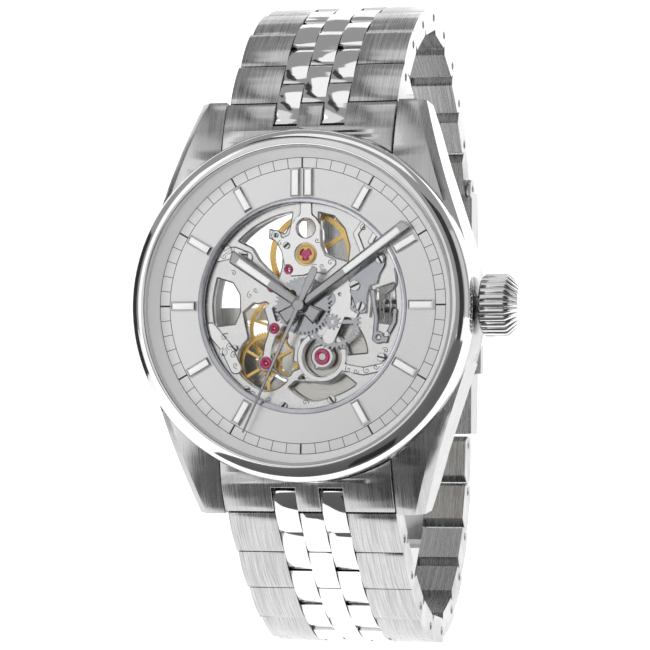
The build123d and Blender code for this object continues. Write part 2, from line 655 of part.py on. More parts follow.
def end_link(side):
    """Fills the space between the lugs and carries the first row on the spring bar."""
    h = radians(END_LINK_HEADING)
    along, out = (cos(h), sin(h)), (-sin(h), cos(h))

    def local(u, v):
        d = PIN_START[0] + u * along[0] + v * out[0]
        z = PIN_START[1] + u * along[1] + v * out[1]
        return (depth(d), z)

    tip, heel = local(NOSE - 0.06, 1.5), local(NOSE - 0.06, -0.3)
    side_view = make_face([
        ThreePointArc((depth(1.35), 16.5), (depth(2.15), 20.4), tip),
        Polyline(tip, heel, local(NOSE - 0.8, -LINK_IN), (depth(7.2), 20), (depth(7.2), 16.5),
                 (depth(1.35), 16.5)),
    ])
    body = cross_prism(side_view, -END_HALF_WIDTH, END_HALF_WIDTH)
    body -= disc(CENTRE, BEZEL_R + 0.05, -1, 9)
    notch = outline([local(-2.05, -3), local(-2.05, 3), local(3, 3), local(3, -3)])
    for x0 in (MIDDLE_COLUMN[0] - 0.07, -MIDDLE_COLUMN[1] - 0.07):
        body -= cross_prism(notch, x0, x0 + MIDDLE_COLUMN[1] - MIDDLE_COLUMN[0] + 0.14)
    body -= rod(PIN_START[0], PIN_START[1], SPRING_BAR_R + 0.03, -11, 11)
    return body if side == 1 else mirror(body, about=Plane.XY)


def spring_bars():
    return [rod(PIN_START[0], side * PIN_START[1], SPRING_BAR_R, -12.1, 12.1) for side in (1, -1)]


# ---- clasp ----
def plate_yz(d0, z0, d1, z1):
    return outline([(depth(d0), z0), (depth(d0), z1), (depth(d1), z1), (depth(d1), z0)])


def knuckle(pivot, r, bore, x0, x1):
    return rod(*pivot, r, x0, x1) - rod(*pivot, bore, x0 - 1, x1 + 1)


def clasp_cover():
    low, high = COVER_SPAN
    outer, middle = COVER_INNER + COVER_THICK, (low + high) / 2
    shell = make_face([
        ThreePointArc((depth(outer - 0.35), low), (depth(outer + 0.2), middle),
                      (depth(outer - 0.35), high)),
        Polyline((depth(outer - 0.35), high), (depth(COVER_INNER), high),
                 (depth(COVER_INNER), low), (depth(outer - 0.35), low)),
    ])
    cover = cross_prism(shell, -CHEEK[1], CHEEK[1])
    end_pin = chain(UPPER_HEADINGS, UPPER_PITCH)[-1]
    cheek = cross_prism(plate_yz(43.0, low, COVER_INNER, high), *CHEEK)
    cheek += rod(*end_pin, 1.25, *CHEEK) - rod(*end_pin, 0.45, *CHEEK)
    cheek -= cross_prism(plate_yz(43.4, PUSHER_Z - 1.9, 45.1, PUSHER_Z + 1.9), *CHEEK)
    ear = rod(*COVER_PIVOT, 0.8, KNUCKLE_HALF + 0.1, BLADE_HALF)
    ear += cross_prism(plate_yz(44.3, -12.4, COVER_INNER, -10.8), KNUCKLE_HALF + 0.1, BLADE_HALF)
    ear -= rod(*COVER_PIVOT, 0.4, 0, 6)
    for piece in both_sides(cheek) + both_sides(ear):
        cover += piece
    return [cover, rod(*COVER_PIVOT, 0.4, -BLADE_HALF, BLADE_HALF)]


def clasp_long_blade():
    plate = cross_prism(plate_yz(43.95, -10.6, 44.65, 10.8), -BLADE_HALF, BLADE_HALF)
    slot = cross_prism(plate_yz(43, -6.5, 46, 6.5), -1.6, 1.6)
    centre = (-KNUCKLE_HALF, KNUCKLE_HALF)
    webs = cross_prism(plate_yz(43.95, -11.6, 44.65, 12), *centre)
    blade = plate - slot + webs - cross_prism(plate_yz(43, -6.5, 46, 6.5), -1.6, 1.6)
    for pivot, r in ((FOLD_PIVOT, 0.95), (COVER_PIVOT, 0.8)):
        blade -= rod(*pivot, r, *centre)
        blade += knuckle(pivot, r, 0.45, *centre)
    return blade


def clasp_short_blade():
    end_pin = chain(LOWER_HEADINGS, LOWER_PITCH)[-1]
    pin = (end_pin[0], -end_pin[1])
    plate = cross_prism(plate_yz(42.6, -13.4, 43.35, 10.8), -BLADE_HALF, BLADE_HALF)
    x0, x1 = KNUCKLE_HALF + 0.1, BLADE_HALF
    ear = rod(*FOLD_PIVOT, 0.95, x0, x1) + cross_prism(plate_yz(42.6, 10.5, 43.35, 12), x0, x1)
    ear -= rod(*FOLD_PIVOT, 0.4, 0, 6)
    hook = outline([(depth(42.6), -13.6), (depth(43.35), -13.2), (depth(45.2), -15.4),
                    (depth(43.6), -16.6)])
    lug = cross_prism(hook, *MIDDLE_COLUMN) + rod(*pin, 1.1, *MIDDLE_COLUMN)
    lug -= rod(*pin, PIN_R + PIN_PLAY, 0, 6)
    for piece in both_sides(ear) + both_sides(lug):
        plate += piece
    return [plate, rod(*FOLD_PIVOT, 0.4, -BLADE_HALF, BLADE_HALF)]


def clasp_pusher(side):
    """A push-button through the cover's side wall, with a flange behind the wall."""
    head = cross_prism(plate_yz(43.5, PUSHER_Z - 1.8, 45.0, PUSHER_Z + 1.8), 8.4, 11.1)
    flange = cross_prism(plate_yz(43.2, PUSHER_Z - 2.3, 45.3, PUSHER_Z + 2.3), 8.4, 9.2)
    button = head + flange
    return button if side == 1 else mirror(button, about=Plane.YZ)


NODES = {
    "mid_case": mid_case, "bezel": bezel, "crystal": crystal, "gaskets": gaskets,
    "rehaut_ring": rehaut_ring, "dial": dial, "hour_indices": hour_indices,
    "caseback": caseback, "caseback_crystal": caseback_crystal, "hour_hand": hour_hand,
    "minute_hand": minute_hand, "seconds_hand": seconds_hand, "hour_wheel": hour_wheel,
    "minute_wheel": minute_wheel, "centre_wheel": centre_wheel, "third_wheel": third_wheel,
    "intermediate_wheel": intermediate_wheel, "barrel": barrel, "fourth_wheel": fourth_wheel,
    "escape_wheel": escape_wheel, "pallet_fork": pallet_fork, "balance_wheel": balance_wheel,
    "hairspring": hairspring, "main_plate": main_plate, "train_bridge": train_bridge,
    "balance_cock": balance_cock, "jewels": jewels, "shock_setting": shock_setting,
    "movement_screws": movement_screws, "keyless_works": keyless_works, "rotor": rotor,
    "crown": crown, "winding_stem": winding_stem, "sliding_pinion": sliding_pinion,
    "spring_bars": spring_bars, "clasp_cover": clasp_cover, "clasp_long_blade": clasp_long_blade,
    "clasp_short_blade": clasp_short_blade,
}

for node, make in NODES.items():
    save(make(), node)
save([end_link(1), end_link(-1)], "end_links")
save(clasp_pusher(1), "clasp_pusher_right")
save(clasp_pusher(-1), "clasp_pusher_left")
bracelet_half("upper", UPPER_HEADINGS, UPPER_PITCH, 1, True)
bracelet_half("lower", LOWER_HEADINGS, LOWER_PITCH, -1, False)
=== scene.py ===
"""Looks of a skeleton wristwatch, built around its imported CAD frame.

The frame's +Z points to 12 o'clock, +X to the crown and -Y out of the dial.
Depths are millimetres behind the dial's front face, as in the part's own source.
"""

import math

import bmesh
import bpy
import numpy as np
from mathutils import Matrix, Vector
from mathutils.geometry import delaunay_2d_cdt


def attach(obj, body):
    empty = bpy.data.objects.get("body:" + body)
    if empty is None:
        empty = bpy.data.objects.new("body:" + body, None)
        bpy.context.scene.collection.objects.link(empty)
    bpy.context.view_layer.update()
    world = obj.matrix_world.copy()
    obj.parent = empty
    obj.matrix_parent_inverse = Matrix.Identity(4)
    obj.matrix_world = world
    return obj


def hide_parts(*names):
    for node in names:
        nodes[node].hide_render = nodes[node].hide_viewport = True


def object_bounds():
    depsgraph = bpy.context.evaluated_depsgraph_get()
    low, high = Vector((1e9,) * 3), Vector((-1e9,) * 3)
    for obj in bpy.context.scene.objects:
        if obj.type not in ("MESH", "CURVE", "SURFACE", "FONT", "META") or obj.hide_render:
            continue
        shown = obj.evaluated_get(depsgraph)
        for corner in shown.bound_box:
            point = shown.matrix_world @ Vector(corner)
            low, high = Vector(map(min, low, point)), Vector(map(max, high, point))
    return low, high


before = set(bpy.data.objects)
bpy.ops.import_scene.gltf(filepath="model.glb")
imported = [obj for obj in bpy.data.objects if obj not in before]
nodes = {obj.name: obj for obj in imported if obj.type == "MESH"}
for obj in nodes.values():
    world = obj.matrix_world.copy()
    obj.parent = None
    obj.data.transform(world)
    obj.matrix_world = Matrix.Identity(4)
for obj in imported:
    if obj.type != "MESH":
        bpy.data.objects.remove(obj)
cad_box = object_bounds()

MM = 0.001
DIAL_Y = -8.2


def at(x, z, depth=0.0):
    """A point in metres from its place on the dial, in mm, and its depth behind the dial's front."""
    return Vector((x, DIAL_Y + depth, z)) * MM


# ---- materials ----
class Graph:
    """A short way to write a material's nodes."""

    def __init__(self, name):
        self.material = bpy.data.materials.new(name)
        self.material.use_nodes = True
        self.tree = self.material.node_tree
        self.shader = self.tree.nodes["Principled BSDF"]
        self.coordinates = self.node("ShaderNodeTexCoord")

    def node(self, kind, inputs=None, **settings):
        made = self.tree.nodes.new(kind)
        for key, value in settings.items():
            setattr(made, key, value)
        for key, value in (inputs or {}).items():
            self.feed(made.inputs[key], value)
        return made

    def feed(self, socket, value):
        if isinstance(value, bpy.types.NodeSocket):
            self.tree.links.new(value, socket)
        else:
            socket.default_value = value

    def place(self, scale, rotation=(0, 0, 0)):
        """Object coordinates in metres, stretched by scale."""
        mapping = self.node("ShaderNodeMapping", {
            "Vector": self.coordinates.outputs["Object"],
            "Scale": scale,
            "Rotation": rotation,
        })
        return mapping.outputs["Vector"]

    def noise(self, vector, scale=1.0, detail=3.0, roughness=0.6):
        made = self.node("ShaderNodeTexNoise", {
            "Vector": vector, "Scale": scale, "Detail": detail, "Roughness": roughness,
        })
        return made.outputs["Fac"]

    def spread(self, value, low, high, from_low=0.3, from_high=0.7):
        """Map a noise value to a range."""
        made = self.node("ShaderNodeMapRange", {
            "Value": value, "From Min": from_low, "From Max": from_high,
            "To Min": low, "To Max": high,
        })
        return made.outputs["Result"]

    def math(self, operation, first, second=0.0):
        made = self.node("ShaderNodeMath", {0: first, 1: second}, operation=operation)
        return made.outputs[0]

    def blend(self, factor, first, second):
        """Mix two numbers."""
        made = self.node("ShaderNodeMix", {"Factor": factor, 2: first, 3: second}, data_type="FLOAT")
        return made.outputs[0]

    def tint(self, factor, first, second):
        """Mix two colours."""
        made = self.node("ShaderNodeMix", {"Factor": factor}, data_type="RGBA")
        self.feed(made.inputs[6], (*first, 1.0))
        self.feed(made.inputs[7], (*second, 1.0))
        return made.outputs[2]

    def side_facing(self):
        """1 where the surface faces along X, 0 where it faces the dial or the wrist."""
        split = self.node("ShaderNodeSeparateXYZ", {"Vector": self.coordinates.outputs["Normal"]})
        size = self.math("ABSOLUTE", split.outputs["X"])
        return self.spread(size, 0.0, 1.0, 0.55, 0.75)

    def bump(self, height, strength, distance=0.00002):
        made = self.node("ShaderNodeBump", {
            "Height": height, "Strength": strength, "Distance": distance,
        })
        self.feed(self.shader.inputs["Normal"], made.outputs["Normal"])

    def set(self, **values):
        for key, value in values.items():
            name = key.replace("_", " ")
            if isinstance(value, tuple):
                value = (*value, 1.0)
            self.feed(self.shader.inputs[name], value)


def brushed(name, dark, light, roughness, strength=0.35, across=(1, 0, 0)):
    """Straight-grained metal. The grain varies along `across`; faces that look along X take it along Z."""
    g = Graph(name)
    fine = 9000.0
    slow = 160.0
    front = g.place(tuple(fine if a else slow for a in across))
    side = g.place((slow, fine, slow))
    facing = g.side_facing()
    grain = g.blend(facing, g.noise(front), g.noise(side))
    wear = g.noise(g.place((220, 220, 220)), detail=4)
    g.set(Metallic=1.0)
    g.set(Base_Color=g.tint(g.spread(grain, 0, 1), dark, light))
    g.set(Roughness=g.math("ADD", g.spread(grain, roughness - 0.05, roughness + 0.07),
                           g.spread(wear, -0.03, 0.03)))
    g.bump(grain, strength)
    return g.material


def link_steel(name):
    """Bracelet steel: polished on the centre columns, straight-grained on the outer links."""
    g = Graph(name)
    split = g.node("ShaderNodeSeparateXYZ", {"Vector": g.coordinates.outputs["Object"]})
    outer = g.spread(g.math("ABSOLUTE", split.outputs["X"]), 0.0, 1.0, 4.25 * MM, 4.35 * MM)
    grain = g.noise(g.place((9000, 160, 160)))
    smear = g.noise(g.place((300, 300, 300)), detail=5)
    g.set(Metallic=1.0)
    g.set(Base_Color=g.tint(g.math("MULTIPLY", outer, g.spread(grain, 1.0, 0.3)),
                            (0.8, 0.8, 0.8), (0.34, 0.34, 0.34)))
    g.set(Roughness=g.blend(outer, g.spread(smear, 0.05, 0.11), g.spread(grain, 0.2, 0.32)))
    g.bump(g.math("MULTIPLY", outer, grain), 0.22)
    return g.material


def polished(name, dark, light, roughness=0.06, strength=0.04):
    """Mirror-bright metal with faint handling marks."""
    g = Graph(name)
    smear = g.noise(g.place((300, 300, 300)), detail=5)
    hairlines = g.noise(g.place((2500, 6000, 400), (0.4, 0.2, 0.9)), detail=2)
    g.set(Metallic=1.0)
    g.set(Base_Color=g.tint(g.spread(smear, 0, 1), dark, light))
    g.set(Roughness=g.spread(smear, roughness * 0.7, roughness * 1.5))
    g.bump(hairlines, strength)
    return g.material


def grained(name, dark, light, roughness, scale=7000.0, strength=0.25):
    """Blasted or gilt metal with a fine even grain."""
    g = Graph(name)
    grain = g.noise(g.place((scale, scale, scale)), detail=2)
    cloud = g.noise(g.place((500, 500, 500)), detail=4)
    g.set(Metallic=1.0)
    g.set(Base_Color=g.tint(g.spread(cloud, 0, 1), dark, light))
    g.set(Roughness=g.spread(grain, roughness - 0.06, roughness + 0.08))
    g.bump(grain, strength)
    return g.material


def turned_grain(name, dark, light, roughness, centre, rings=2600.0, sunray=False, strength=0.3):
    """Metal brushed in circles round a centre, or in rays from it."""
    g = Graph(name)
    moved = g.node("ShaderNodeVectorMath", {
        0: g.coordinates.outputs["Object"], 1: (-centre[0] * MM, 0, -centre[1] * MM),
    }, operation="ADD")
    split = g.node("ShaderNodeSeparateXYZ", {"Vector": moved.outputs[0]})
    x, z = split.outputs["X"], split.outputs["Z"]
    if sunray:
        angle = g.math("ARCTAN2", z, x)
        key = g.math("MULTIPLY", angle, 140.0)
    else:
        square = g.math("ADD", g.math("MULTIPLY", x, x), g.math("MULTIPLY", z, z))
        key = g.math("MULTIPLY", g.math("SQRT", square), rings * 4)
    line = g.node("ShaderNodeCombineXYZ", {"X": key})
    grain = g.noise(line.outputs[0], detail=3)
    g.set(Metallic=1.0)
    g.set(Base_Color=g.tint(g.spread(grain, 0, 1), dark, light))
    g.set(Roughness=g.spread(grain, roughness - 0.05, roughness + 0.08))
    g.bump(grain, strength)
    return g.material


def clear_glass(name):
    """Sapphire with an anti-reflection coat: nearly all light goes straight through."""
    g = Graph(name)
    through = g.node("ShaderNodeBsdfTransparent")
    gloss = g.node("ShaderNodeBsdfGlossy", {"Roughness": 0.02})
    edge = g.node("ShaderNodeFresnel", {"IOR": 1.25})
    haze = g.noise(g.place((60, 60, 60)))
    share = g.math("MULTIPLY", edge.outputs[0], g.spread(haze, 0.75, 0.95))
    mix = g.node("ShaderNodeMixShader", {0: share, 1: through.outputs[0], 2: gloss.outputs[0]})
    output = g.tree.nodes["Material Output"]
    g.feed(output.inputs["Surface"], mix.outputs[0])
    return g.material


def ruby_stone(name):
    """Synthetic ruby: deep pink-red, glossy, with a faint red painted glow standing in for light caught
    inside the stone.
    """
    g = Graph(name)
    cloud = g.noise(g.place((2500, 2500, 2500)), detail=2)
    g.set(Base_Color=g.tint(g.spread(cloud, 0, 1), (0.30, 0.004, 0.07), (0.75, 0.02, 0.25)))
    # painted glow: red emission standing in for light caught inside the stone
    g.set(Roughness=g.spread(cloud, 0.05, 0.12), Emission_Color=(0.8, 0.02, 0.2))
    g.shader.inputs["Emission Strength"].default_value = 0.12
    g.shader.inputs["Coat Weight"].default_value = 1.0
    return g.material


def matt(name, dark, light, roughness=0.7, painted_glow=0.0):
    """Rubber, print, lacquer or lume paint, with an optional painted glow: white emission that brightens
    the surface whatever the lamps do.
    """
    g = Graph(name)
    cloud = g.noise(g.place((4000, 4000, 4000)), detail=3)
    g.set(Base_Color=g.tint(g.spread(cloud, 0, 1), dark, light))
    g.set(Roughness=g.spread(cloud, roughness - 0.08, roughness + 0.08))
    # painted glow: white emission that brightens the surface as if more light fell on it
    g.shader.inputs["Emission Color"].default_value = (1, 1, 1, 1)
    g.shader.inputs["Emission Strength"].default_value = painted_glow
    g.bump(cloud, 0.15)
    return g.material


STEEL_BRUSHED = brushed("steel_brushed", (0.42, 0.42, 0.42), (0.6, 0.6, 0.6), 0.25, 0.22)
LINK_STEEL = link_steel("link_steel")
STEEL_POLISHED = polished("steel_polished", (0.74, 0.74, 0.74), (0.82, 0.82, 0.82))
GLASS = clear_glass("sapphire")
DIAL_SILVER = turned_grain("dial_silver", (0.80, 0.80, 0.80), (0.90, 0.90, 0.90), 0.34,
                           (0, 0), sunray=True, strength=0.12)
RHODIUM = grained("rhodium", (0.86, 0.86, 0.86), (0.92, 0.92, 0.91), 0.24, scale=25000.0, strength=0.02)
RHODIUM_POLISHED = polished("rhodium_polished", (0.93, 0.93, 0.93), (0.97, 0.97, 0.96), 0.16, 0.04)
RHODIUM_TURNED = turned_grain("rhodium_turned", (0.62, 0.61, 0.58), (0.78, 0.77, 0.74), 0.28, (0, 0))
DRUM_TURNED = turned_grain("drum_turned", (0.5, 0.49, 0.45), (0.86, 0.85, 0.81), 0.2, (2.2, -5.9))
GREY_STEEL = polished("grey_steel", (0.42, 0.43, 0.46), (0.56, 0.57, 0.6), 0.14)
GILT = grained("gilt_brass", (0.72, 0.46, 0.13), (0.88, 0.62, 0.22), 0.28)
COPPER = grained("copper_steel", (0.55, 0.2, 0.08), (0.75, 0.34, 0.15), 0.25)
RUBY = ruby_stone("ruby")
# The flange's glow is painted light: it brightens the flange where the bezel shades it.
FLANGE_SILVER = matt("flange_silver", (0.78, 0.78, 0.78), (0.86, 0.86, 0.86), 0.35, painted_glow=0.26)
NYLON = matt("gasket_nylon", (0.62, 0.62, 0.61), (0.7, 0.7, 0.69), 0.4)
HAND_STEEL = polished("hand_steel", (0.4, 0.4, 0.41), (0.5, 0.5, 0.51), 0.12)
# The lume's glow is painted light that keeps the white fills and bars bright whatever the lighting.
LUME = matt("lume", (0.86, 0.87, 0.85), (0.93, 0.93, 0.92), 0.45, painted_glow=0.4)
# near-black painted shade for the floors of screw slots and for the engraved grooves
PAINTED_GROOVE_SHADE = matt("groove_painted_shade", (0.02, 0.02, 0.02), (0.05, 0.05, 0.05), 0.4)
PRINT_BLACK = matt("print_black", (0.01, 0.01, 0.01), (0.02, 0.02, 0.02), 0.5)
RUBBER = matt("rubber", (0.012, 0.012, 0.012), (0.03, 0.03, 0.03))


# ---- making pieces ----
def piece(name, mesh, material, body, replaced=(), sharp=30.0):
    """Put a finished mesh in the scene, riding on its body."""
    obj = bpy.data.objects.new(name, mesh)
    bpy.context.scene.collection.objects.link(obj)
    mesh.materials.append(material)
    mesh.shade_smooth()
    mesh.set_sharp_from_angle(angle=math.radians(sharp))
    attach(obj, body)
    if replaced:
        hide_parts(*replaced)
    return obj


def from_bmesh(name, shape):
    mesh = bpy.data.meshes.new(name)
    bmesh.ops.recalc_face_normals(shape, faces=shape.faces)
    shape.to_mesh(mesh)
    shape.free()
    return mesh


def spin_into(shape, profile, centre=(0, 0), steps=128, closed=True):
    """Turn (radius, depth) points round the dial's axis through centre."""
    rings = []
    for i in range(steps):
        angle = 2 * math.pi * i / steps
        rings.append([
            shape.verts.new(at(centre[0] + r * math.cos(angle), centre[1] + r * math.sin(angle), d))
            for r, d in profile
        ])
    count = len(profile)
    for i in range(steps):
        here, there = rings[i], rings[(i + 1) % steps]
        for j in range(count if closed else count - 1):
            k = (j + 1) % count
            shape.faces.new((here[j], here[k], there[k], there[j]))


def spun(name, profiles, steps=128):
    """One mesh from several (profile, centre) pairs; a profile point on the axis closes the piece."""
    shape = bmesh.new()
    for profile, centre in profiles:
        spin_into(shape, profile, centre, steps)
    bmesh.ops.remove_doubles(shape, verts=shape.verts, dist=1e-7)
    return from_bmesh(name, shape)


class Field:
    """Distances to a flat outline on a grid, in mm: negative inside it."""

    def __init__(self, half=13.0, cell=0.07, centre=(0.0, 0.0)):
        line = np.arange(-half, half + cell, cell)
        self.x, self.z = np.meshgrid(line + centre[0], line + centre[1], indexing="ij")
        self.d = np.full(self.x.shape, 9.0)

    def circle(self, centre, r):
        return np.hypot(self.x - centre[0], self.z - centre[1]) - r

    def ring(self, centre, r_in, r_out):
        return np.maximum(self.circle(centre, r_out), -self.circle(centre, r_in))

    def arm(self, p, q, width, end_width=None):
        """A straight arm with round ends, tapering from width to end_width."""
        dx, dz = q[0] - p[0], q[1] - p[1]
        along = ((self.x - p[0]) * dx + (self.z - p[1]) * dz) / (dx * dx + dz * dz)
        along = np.clip(along, 0, 1)
        away = np.hypot(self.x - p[0] - along * dx, self.z - p[1] - along * dz)
        return away - (width + ((end_width or width) - width) * along) / 2

    def path(self, points, width):
        """A bent arm through several points."""
        parts = [self.arm(p, q, width) for p, q in zip(points, points[1:])]
        return np.minimum.reduce(parts)

    def polygon(self, points):
        away = np.full(self.x.shape, 99.0)
        inside = np.zeros(self.x.shape, bool)
        for (x0, z0), (x1, z1) in zip(points, points[1:] + points[:1]):
            away = np.minimum(away, self.arm((x0, z0), (x1, z1), 0.0, 0.0))
            crosses = (z0 > self.z) != (z1 > self.z)
            rise = (z1 - z0) if z1 != z0 else 1e-9
            inside ^= crosses & (self.x < (x1 - x0) * (self.z - z0) / rise + x0)
        return np.where(inside, -away, away)

    def sector(self, centre, r_in, r_out, start, end):
        """Part of a ring between two angles, counted in degrees from +X towards 12 o'clock."""
        middle, half = math.radians((start + end) / 2), math.radians((end - start) / 2)
        dx, dz = self.x - centre[0], self.z - centre[1]
        radius = np.hypot(dx, dz)
        turn = np.arctan2(dz, dx) - middle
        turn = np.abs((turn + math.pi) % (2 * math.pi) - math.pi)
        return np.maximum(np.maximum(radius - r_out, r_in - radius), (turn - half) * radius)

    def join(self, *shapes, soft=0.0):
        for d in shapes:
            blend = np.maximum(soft - np.abs(self.d - d), 0) if soft else 0
            self.d = np.minimum(self.d, d) - (blend * blend / (4 * soft) if soft else 0)
        return self

    def cut(self, *shapes, soft=0.0):
        self.d = -self.d
        self.join(*shapes, soft=soft)
        self.d = -self.d
        return self

    def contour(self, level):
        """Points [(x, z)...] and segments of the line where the distance is level."""
        d = self.d - level
        inside = d < 0
        mixed = inside[:-1, :-1].astype(int) + inside[1:, :-1] + inside[1:, 1:] + inside[:-1, 1:]
        points, found, segments = [], {}, []
        corners = ((0, 0), (1, 0), (1, 1), (0, 1))
        for i, j in zip(*np.nonzero((mixed > 0) & (mixed < 4))):
            crossed = []
            for (a, b), (c, e) in zip(corners, corners[1:] + corners[:1]):
                here, there = sorted(((i + a, j + b), (i + c, j + e)))
                if inside[here] == inside[there]:
                    continue
                if (here, there) not in found:
                    t = d[here] / (d[here] - d[there])
                    found[here, there] = len(points)
                    points.append((self.x[here] + (self.x[there] - self.x[here]) * t,
                                   self.z[here] + (self.z[there] - self.z[here]) * t))
                crossed.append(found[here, there])
            segments += [tuple(crossed[k:k + 2]) for k in range(0, len(crossed), 2)]
        return points, segments

    def sample(self, x, z):
        """Distances at any places, between the grid's own."""
        cell = self.x[1, 0] - self.x[0, 0]
        u = np.clip((x - self.x[0, 0]) / cell, 0, self.x.shape[0] - 1.001)
        v = np.clip((z - self.z[0, 0]) / cell, 0, self.x.shape[1] - 1.001)
        i, j = u.astype(int), v.astype(int)
        u, v = u - i, v - j
        low = self.d[i, j] * (1 - u) + self.d[i + 1, j] * u
        high = self.d[i, j + 1] * (1 - u) + self.d[i + 1, j + 1] * u
        return low * (1 - v) + high * v


def add_plate(shape, field, front, back, bevel):
    """A flat plate with a chamfered front edge."""
    edge_points, edge_lines = field.contour(0.0)
    top_points, top_lines = field.contour(-bevel) if bevel else ([], [])
    count = len(edge_points)
    lines = edge_lines + [(a + count, b + count) for a, b in top_lines]
    flat = [Vector(p) for p in edge_points + top_points]
    verts, _, faces, sources, _, _ = delaunay_2d_cdt(flat, lines, [], 0, 1e-6)
    places = np.array([tuple(v) for v in verts])
    middles = np.array([places[list(f)].mean(0) for f in faces])
    kept = [f for f, d in zip(faces, field.sample(middles[:, 0], middles[:, 1])) if d < 0]
    on_edge = [not bevel or any(s < count for s in source) for source in sources]
    rise = bevel if bevel else 0.0
    top = [shape.verts.new(at(x, z, front + rise if edge else front))
           for (x, z), edge in zip(places, on_edge)]
    low = {}
    for face in kept:
        shape.faces.new([top[k] for k in face])
    for face in kept:
        for k in face:
            if k not in low:
                low[k] = shape.verts.new(at(*places[k], back))
        shape.faces.new([low[k] for k in reversed(face)])
    borders = [e for e in shape.edges if e.is_boundary]
    place_of = {v: k for k, v in enumerate(top)}
    for edge in borders:
        ends = [place_of.get(v) for v in edge.verts]
        if None not in ends:
            a, b = ends
            shape.faces.new((top[a], top[b], low[b], low[a]))
    loose = [v for v in shape.verts if not v.link_faces]
    bmesh.ops.delete(shape, geom=loose, context="VERTS")


def plate_mesh(name, layers):
    """One mesh from (field, front, back, bevel) layers."""
    whole = bmesh.new()
    for layer in layers:
        part = bmesh.new()
        add_plate(part, *layer)
        merge(whole, part)
    return from_bmesh(name, whole)


def merge(whole, part):
    """Move a finished bmesh into a bigger one."""
    holder = bpy.data.meshes.new("holder")
    part.to_mesh(holder)
    part.free()
    whole.from_mesh(holder)
    bpy.data.meshes.remove(holder)


def wire_into(shape, points, radius, sides=6):
    """A round wire along points, given in metres."""
    rings = []
    for i, point in enumerate(points):
        ahead, behind = points[min(i + 1, len(points) - 1)], points[max(i - 1, 0)]
        along = (ahead - behind).normalized()
        side = along.cross(Vector((0, 1, 0))).normalized()
        up = side.cross(along)
        rings.append([
            shape.verts.new(point + radius * (side * math.cos(a) + up * math.sin(a)))
            for a in (2 * math.pi * k / sides for k in range(sides))
        ])
    for here, there in zip(rings, rings[1:]):
        for k in range(sides):
            n = (k + 1) % sides
            shape.faces.new((here[k], here[n], there[n], there[k]))
    shape.faces.new(rings[0][::-1])
    shape.faces.new(rings[-1])


def scroll_into(shape, centre, size, start, hand, depth, radius=0.035):
    """An engraver's curl: a spiral that opens into a short tail."""
    points = []
    for i in range(26):
        share = i / 25
        r = size * (0.16 + 0.84 * share ** 1.3)
        angle = math.radians(start + hand * 430 * (1 - share))
        points.append(at(centre[0] + r * math.cos(angle), centre[1] + r * math.sin(angle), depth))
    last, before = points[-1], points[-2]
    points.append(last + (last - before) * 2.2)
    wire_into(shape, points, radius * MM)


# ---- dial ----
TRACK_IN, TRACK_OUT = 16.0, 17.2
PRINT_LIFT = -0.008


def dial():
    plate = [(12.6, 0.0), (18.3, 0.0), (18.3, 0.5), (12.6, 0.5)]
    lip = [(11.95, 0.62), (11.95, 0.14), (12.02, 0.04), (12.3, -0.05), (12.5, -0.05), (12.6, 0.03),
           (12.6, 0.5), (12.3, 0.62)]
    piece("dial_plate", spun("dial_plate", [(plate, (0, 0))], 240), DIAL_SILVER, "case",
          ["dial"])
    flange = [(17.3, 0.02), (17.3, -0.12), (17.42, -0.3), (18.2, -1.42), (18.3, -1.48), (18.48, -1.48),
              (18.48, 0.02)]
    piece("flange_ring", spun("flange_ring", [(flange, (0, 0))], 240), FLANGE_SILVER, "case",
          ["rehaut_ring"])
    # painted shade: the darker grey steel on the lip stands in for the shadowed gap at the opening's edge
    piece("opening_ring", spun("opening_ring", [(lip, (0, 0))], 240), GREY_STEEL, "case")


def strip_into(shape, angle, r_in, r_out, width, depth):
    """A printed bar that points to the centre; angle is clockwise from 12."""
    turn = math.radians(angle)
    along, side = (math.sin(turn), math.cos(turn)), (math.cos(turn), -math.sin(turn))
    corners = [(r_in, -1), (r_out, -1), (r_out, 1), (r_in, 1)]
    shape.faces.new([
        shape.verts.new(at(r * along[0] + s * side[0] * width / 2,
                           r * along[1] + s * side[1] * width / 2, depth))
        for r, s in corners
    ])


def minute_track():
    """Two printed circles with a line for every minute and a bold one for every fifth."""
    shape = bmesh.new()
    for r in (TRACK_IN, TRACK_OUT):
        ring = [(r - 0.035, PRINT_LIFT), (r + 0.035, PRINT_LIFT)]
        spin_into(shape, ring, steps=240, closed=False)
    for minute in range(60):
        width = 0.2 if minute % 5 == 0 else 0.07
        strip_into(shape, 6 * minute, TRACK_IN, TRACK_OUT, width, PRINT_LIFT * 1.2)
    piece("minute_track", from_bmesh("minute_track", shape), PRINT_BLACK, "case")


def baton_rings(width, length):
    """Nested outlines of a framed baton: (half width, half length, depth)."""
    steps = [(0.0, 0.0), (0.0, -0.28), (0.17, -0.45), (0.22, -0.45), (0.22, -0.4)]
    return [(width / 2 - inset, length / 2 - inset, depth) for inset, depth in steps]


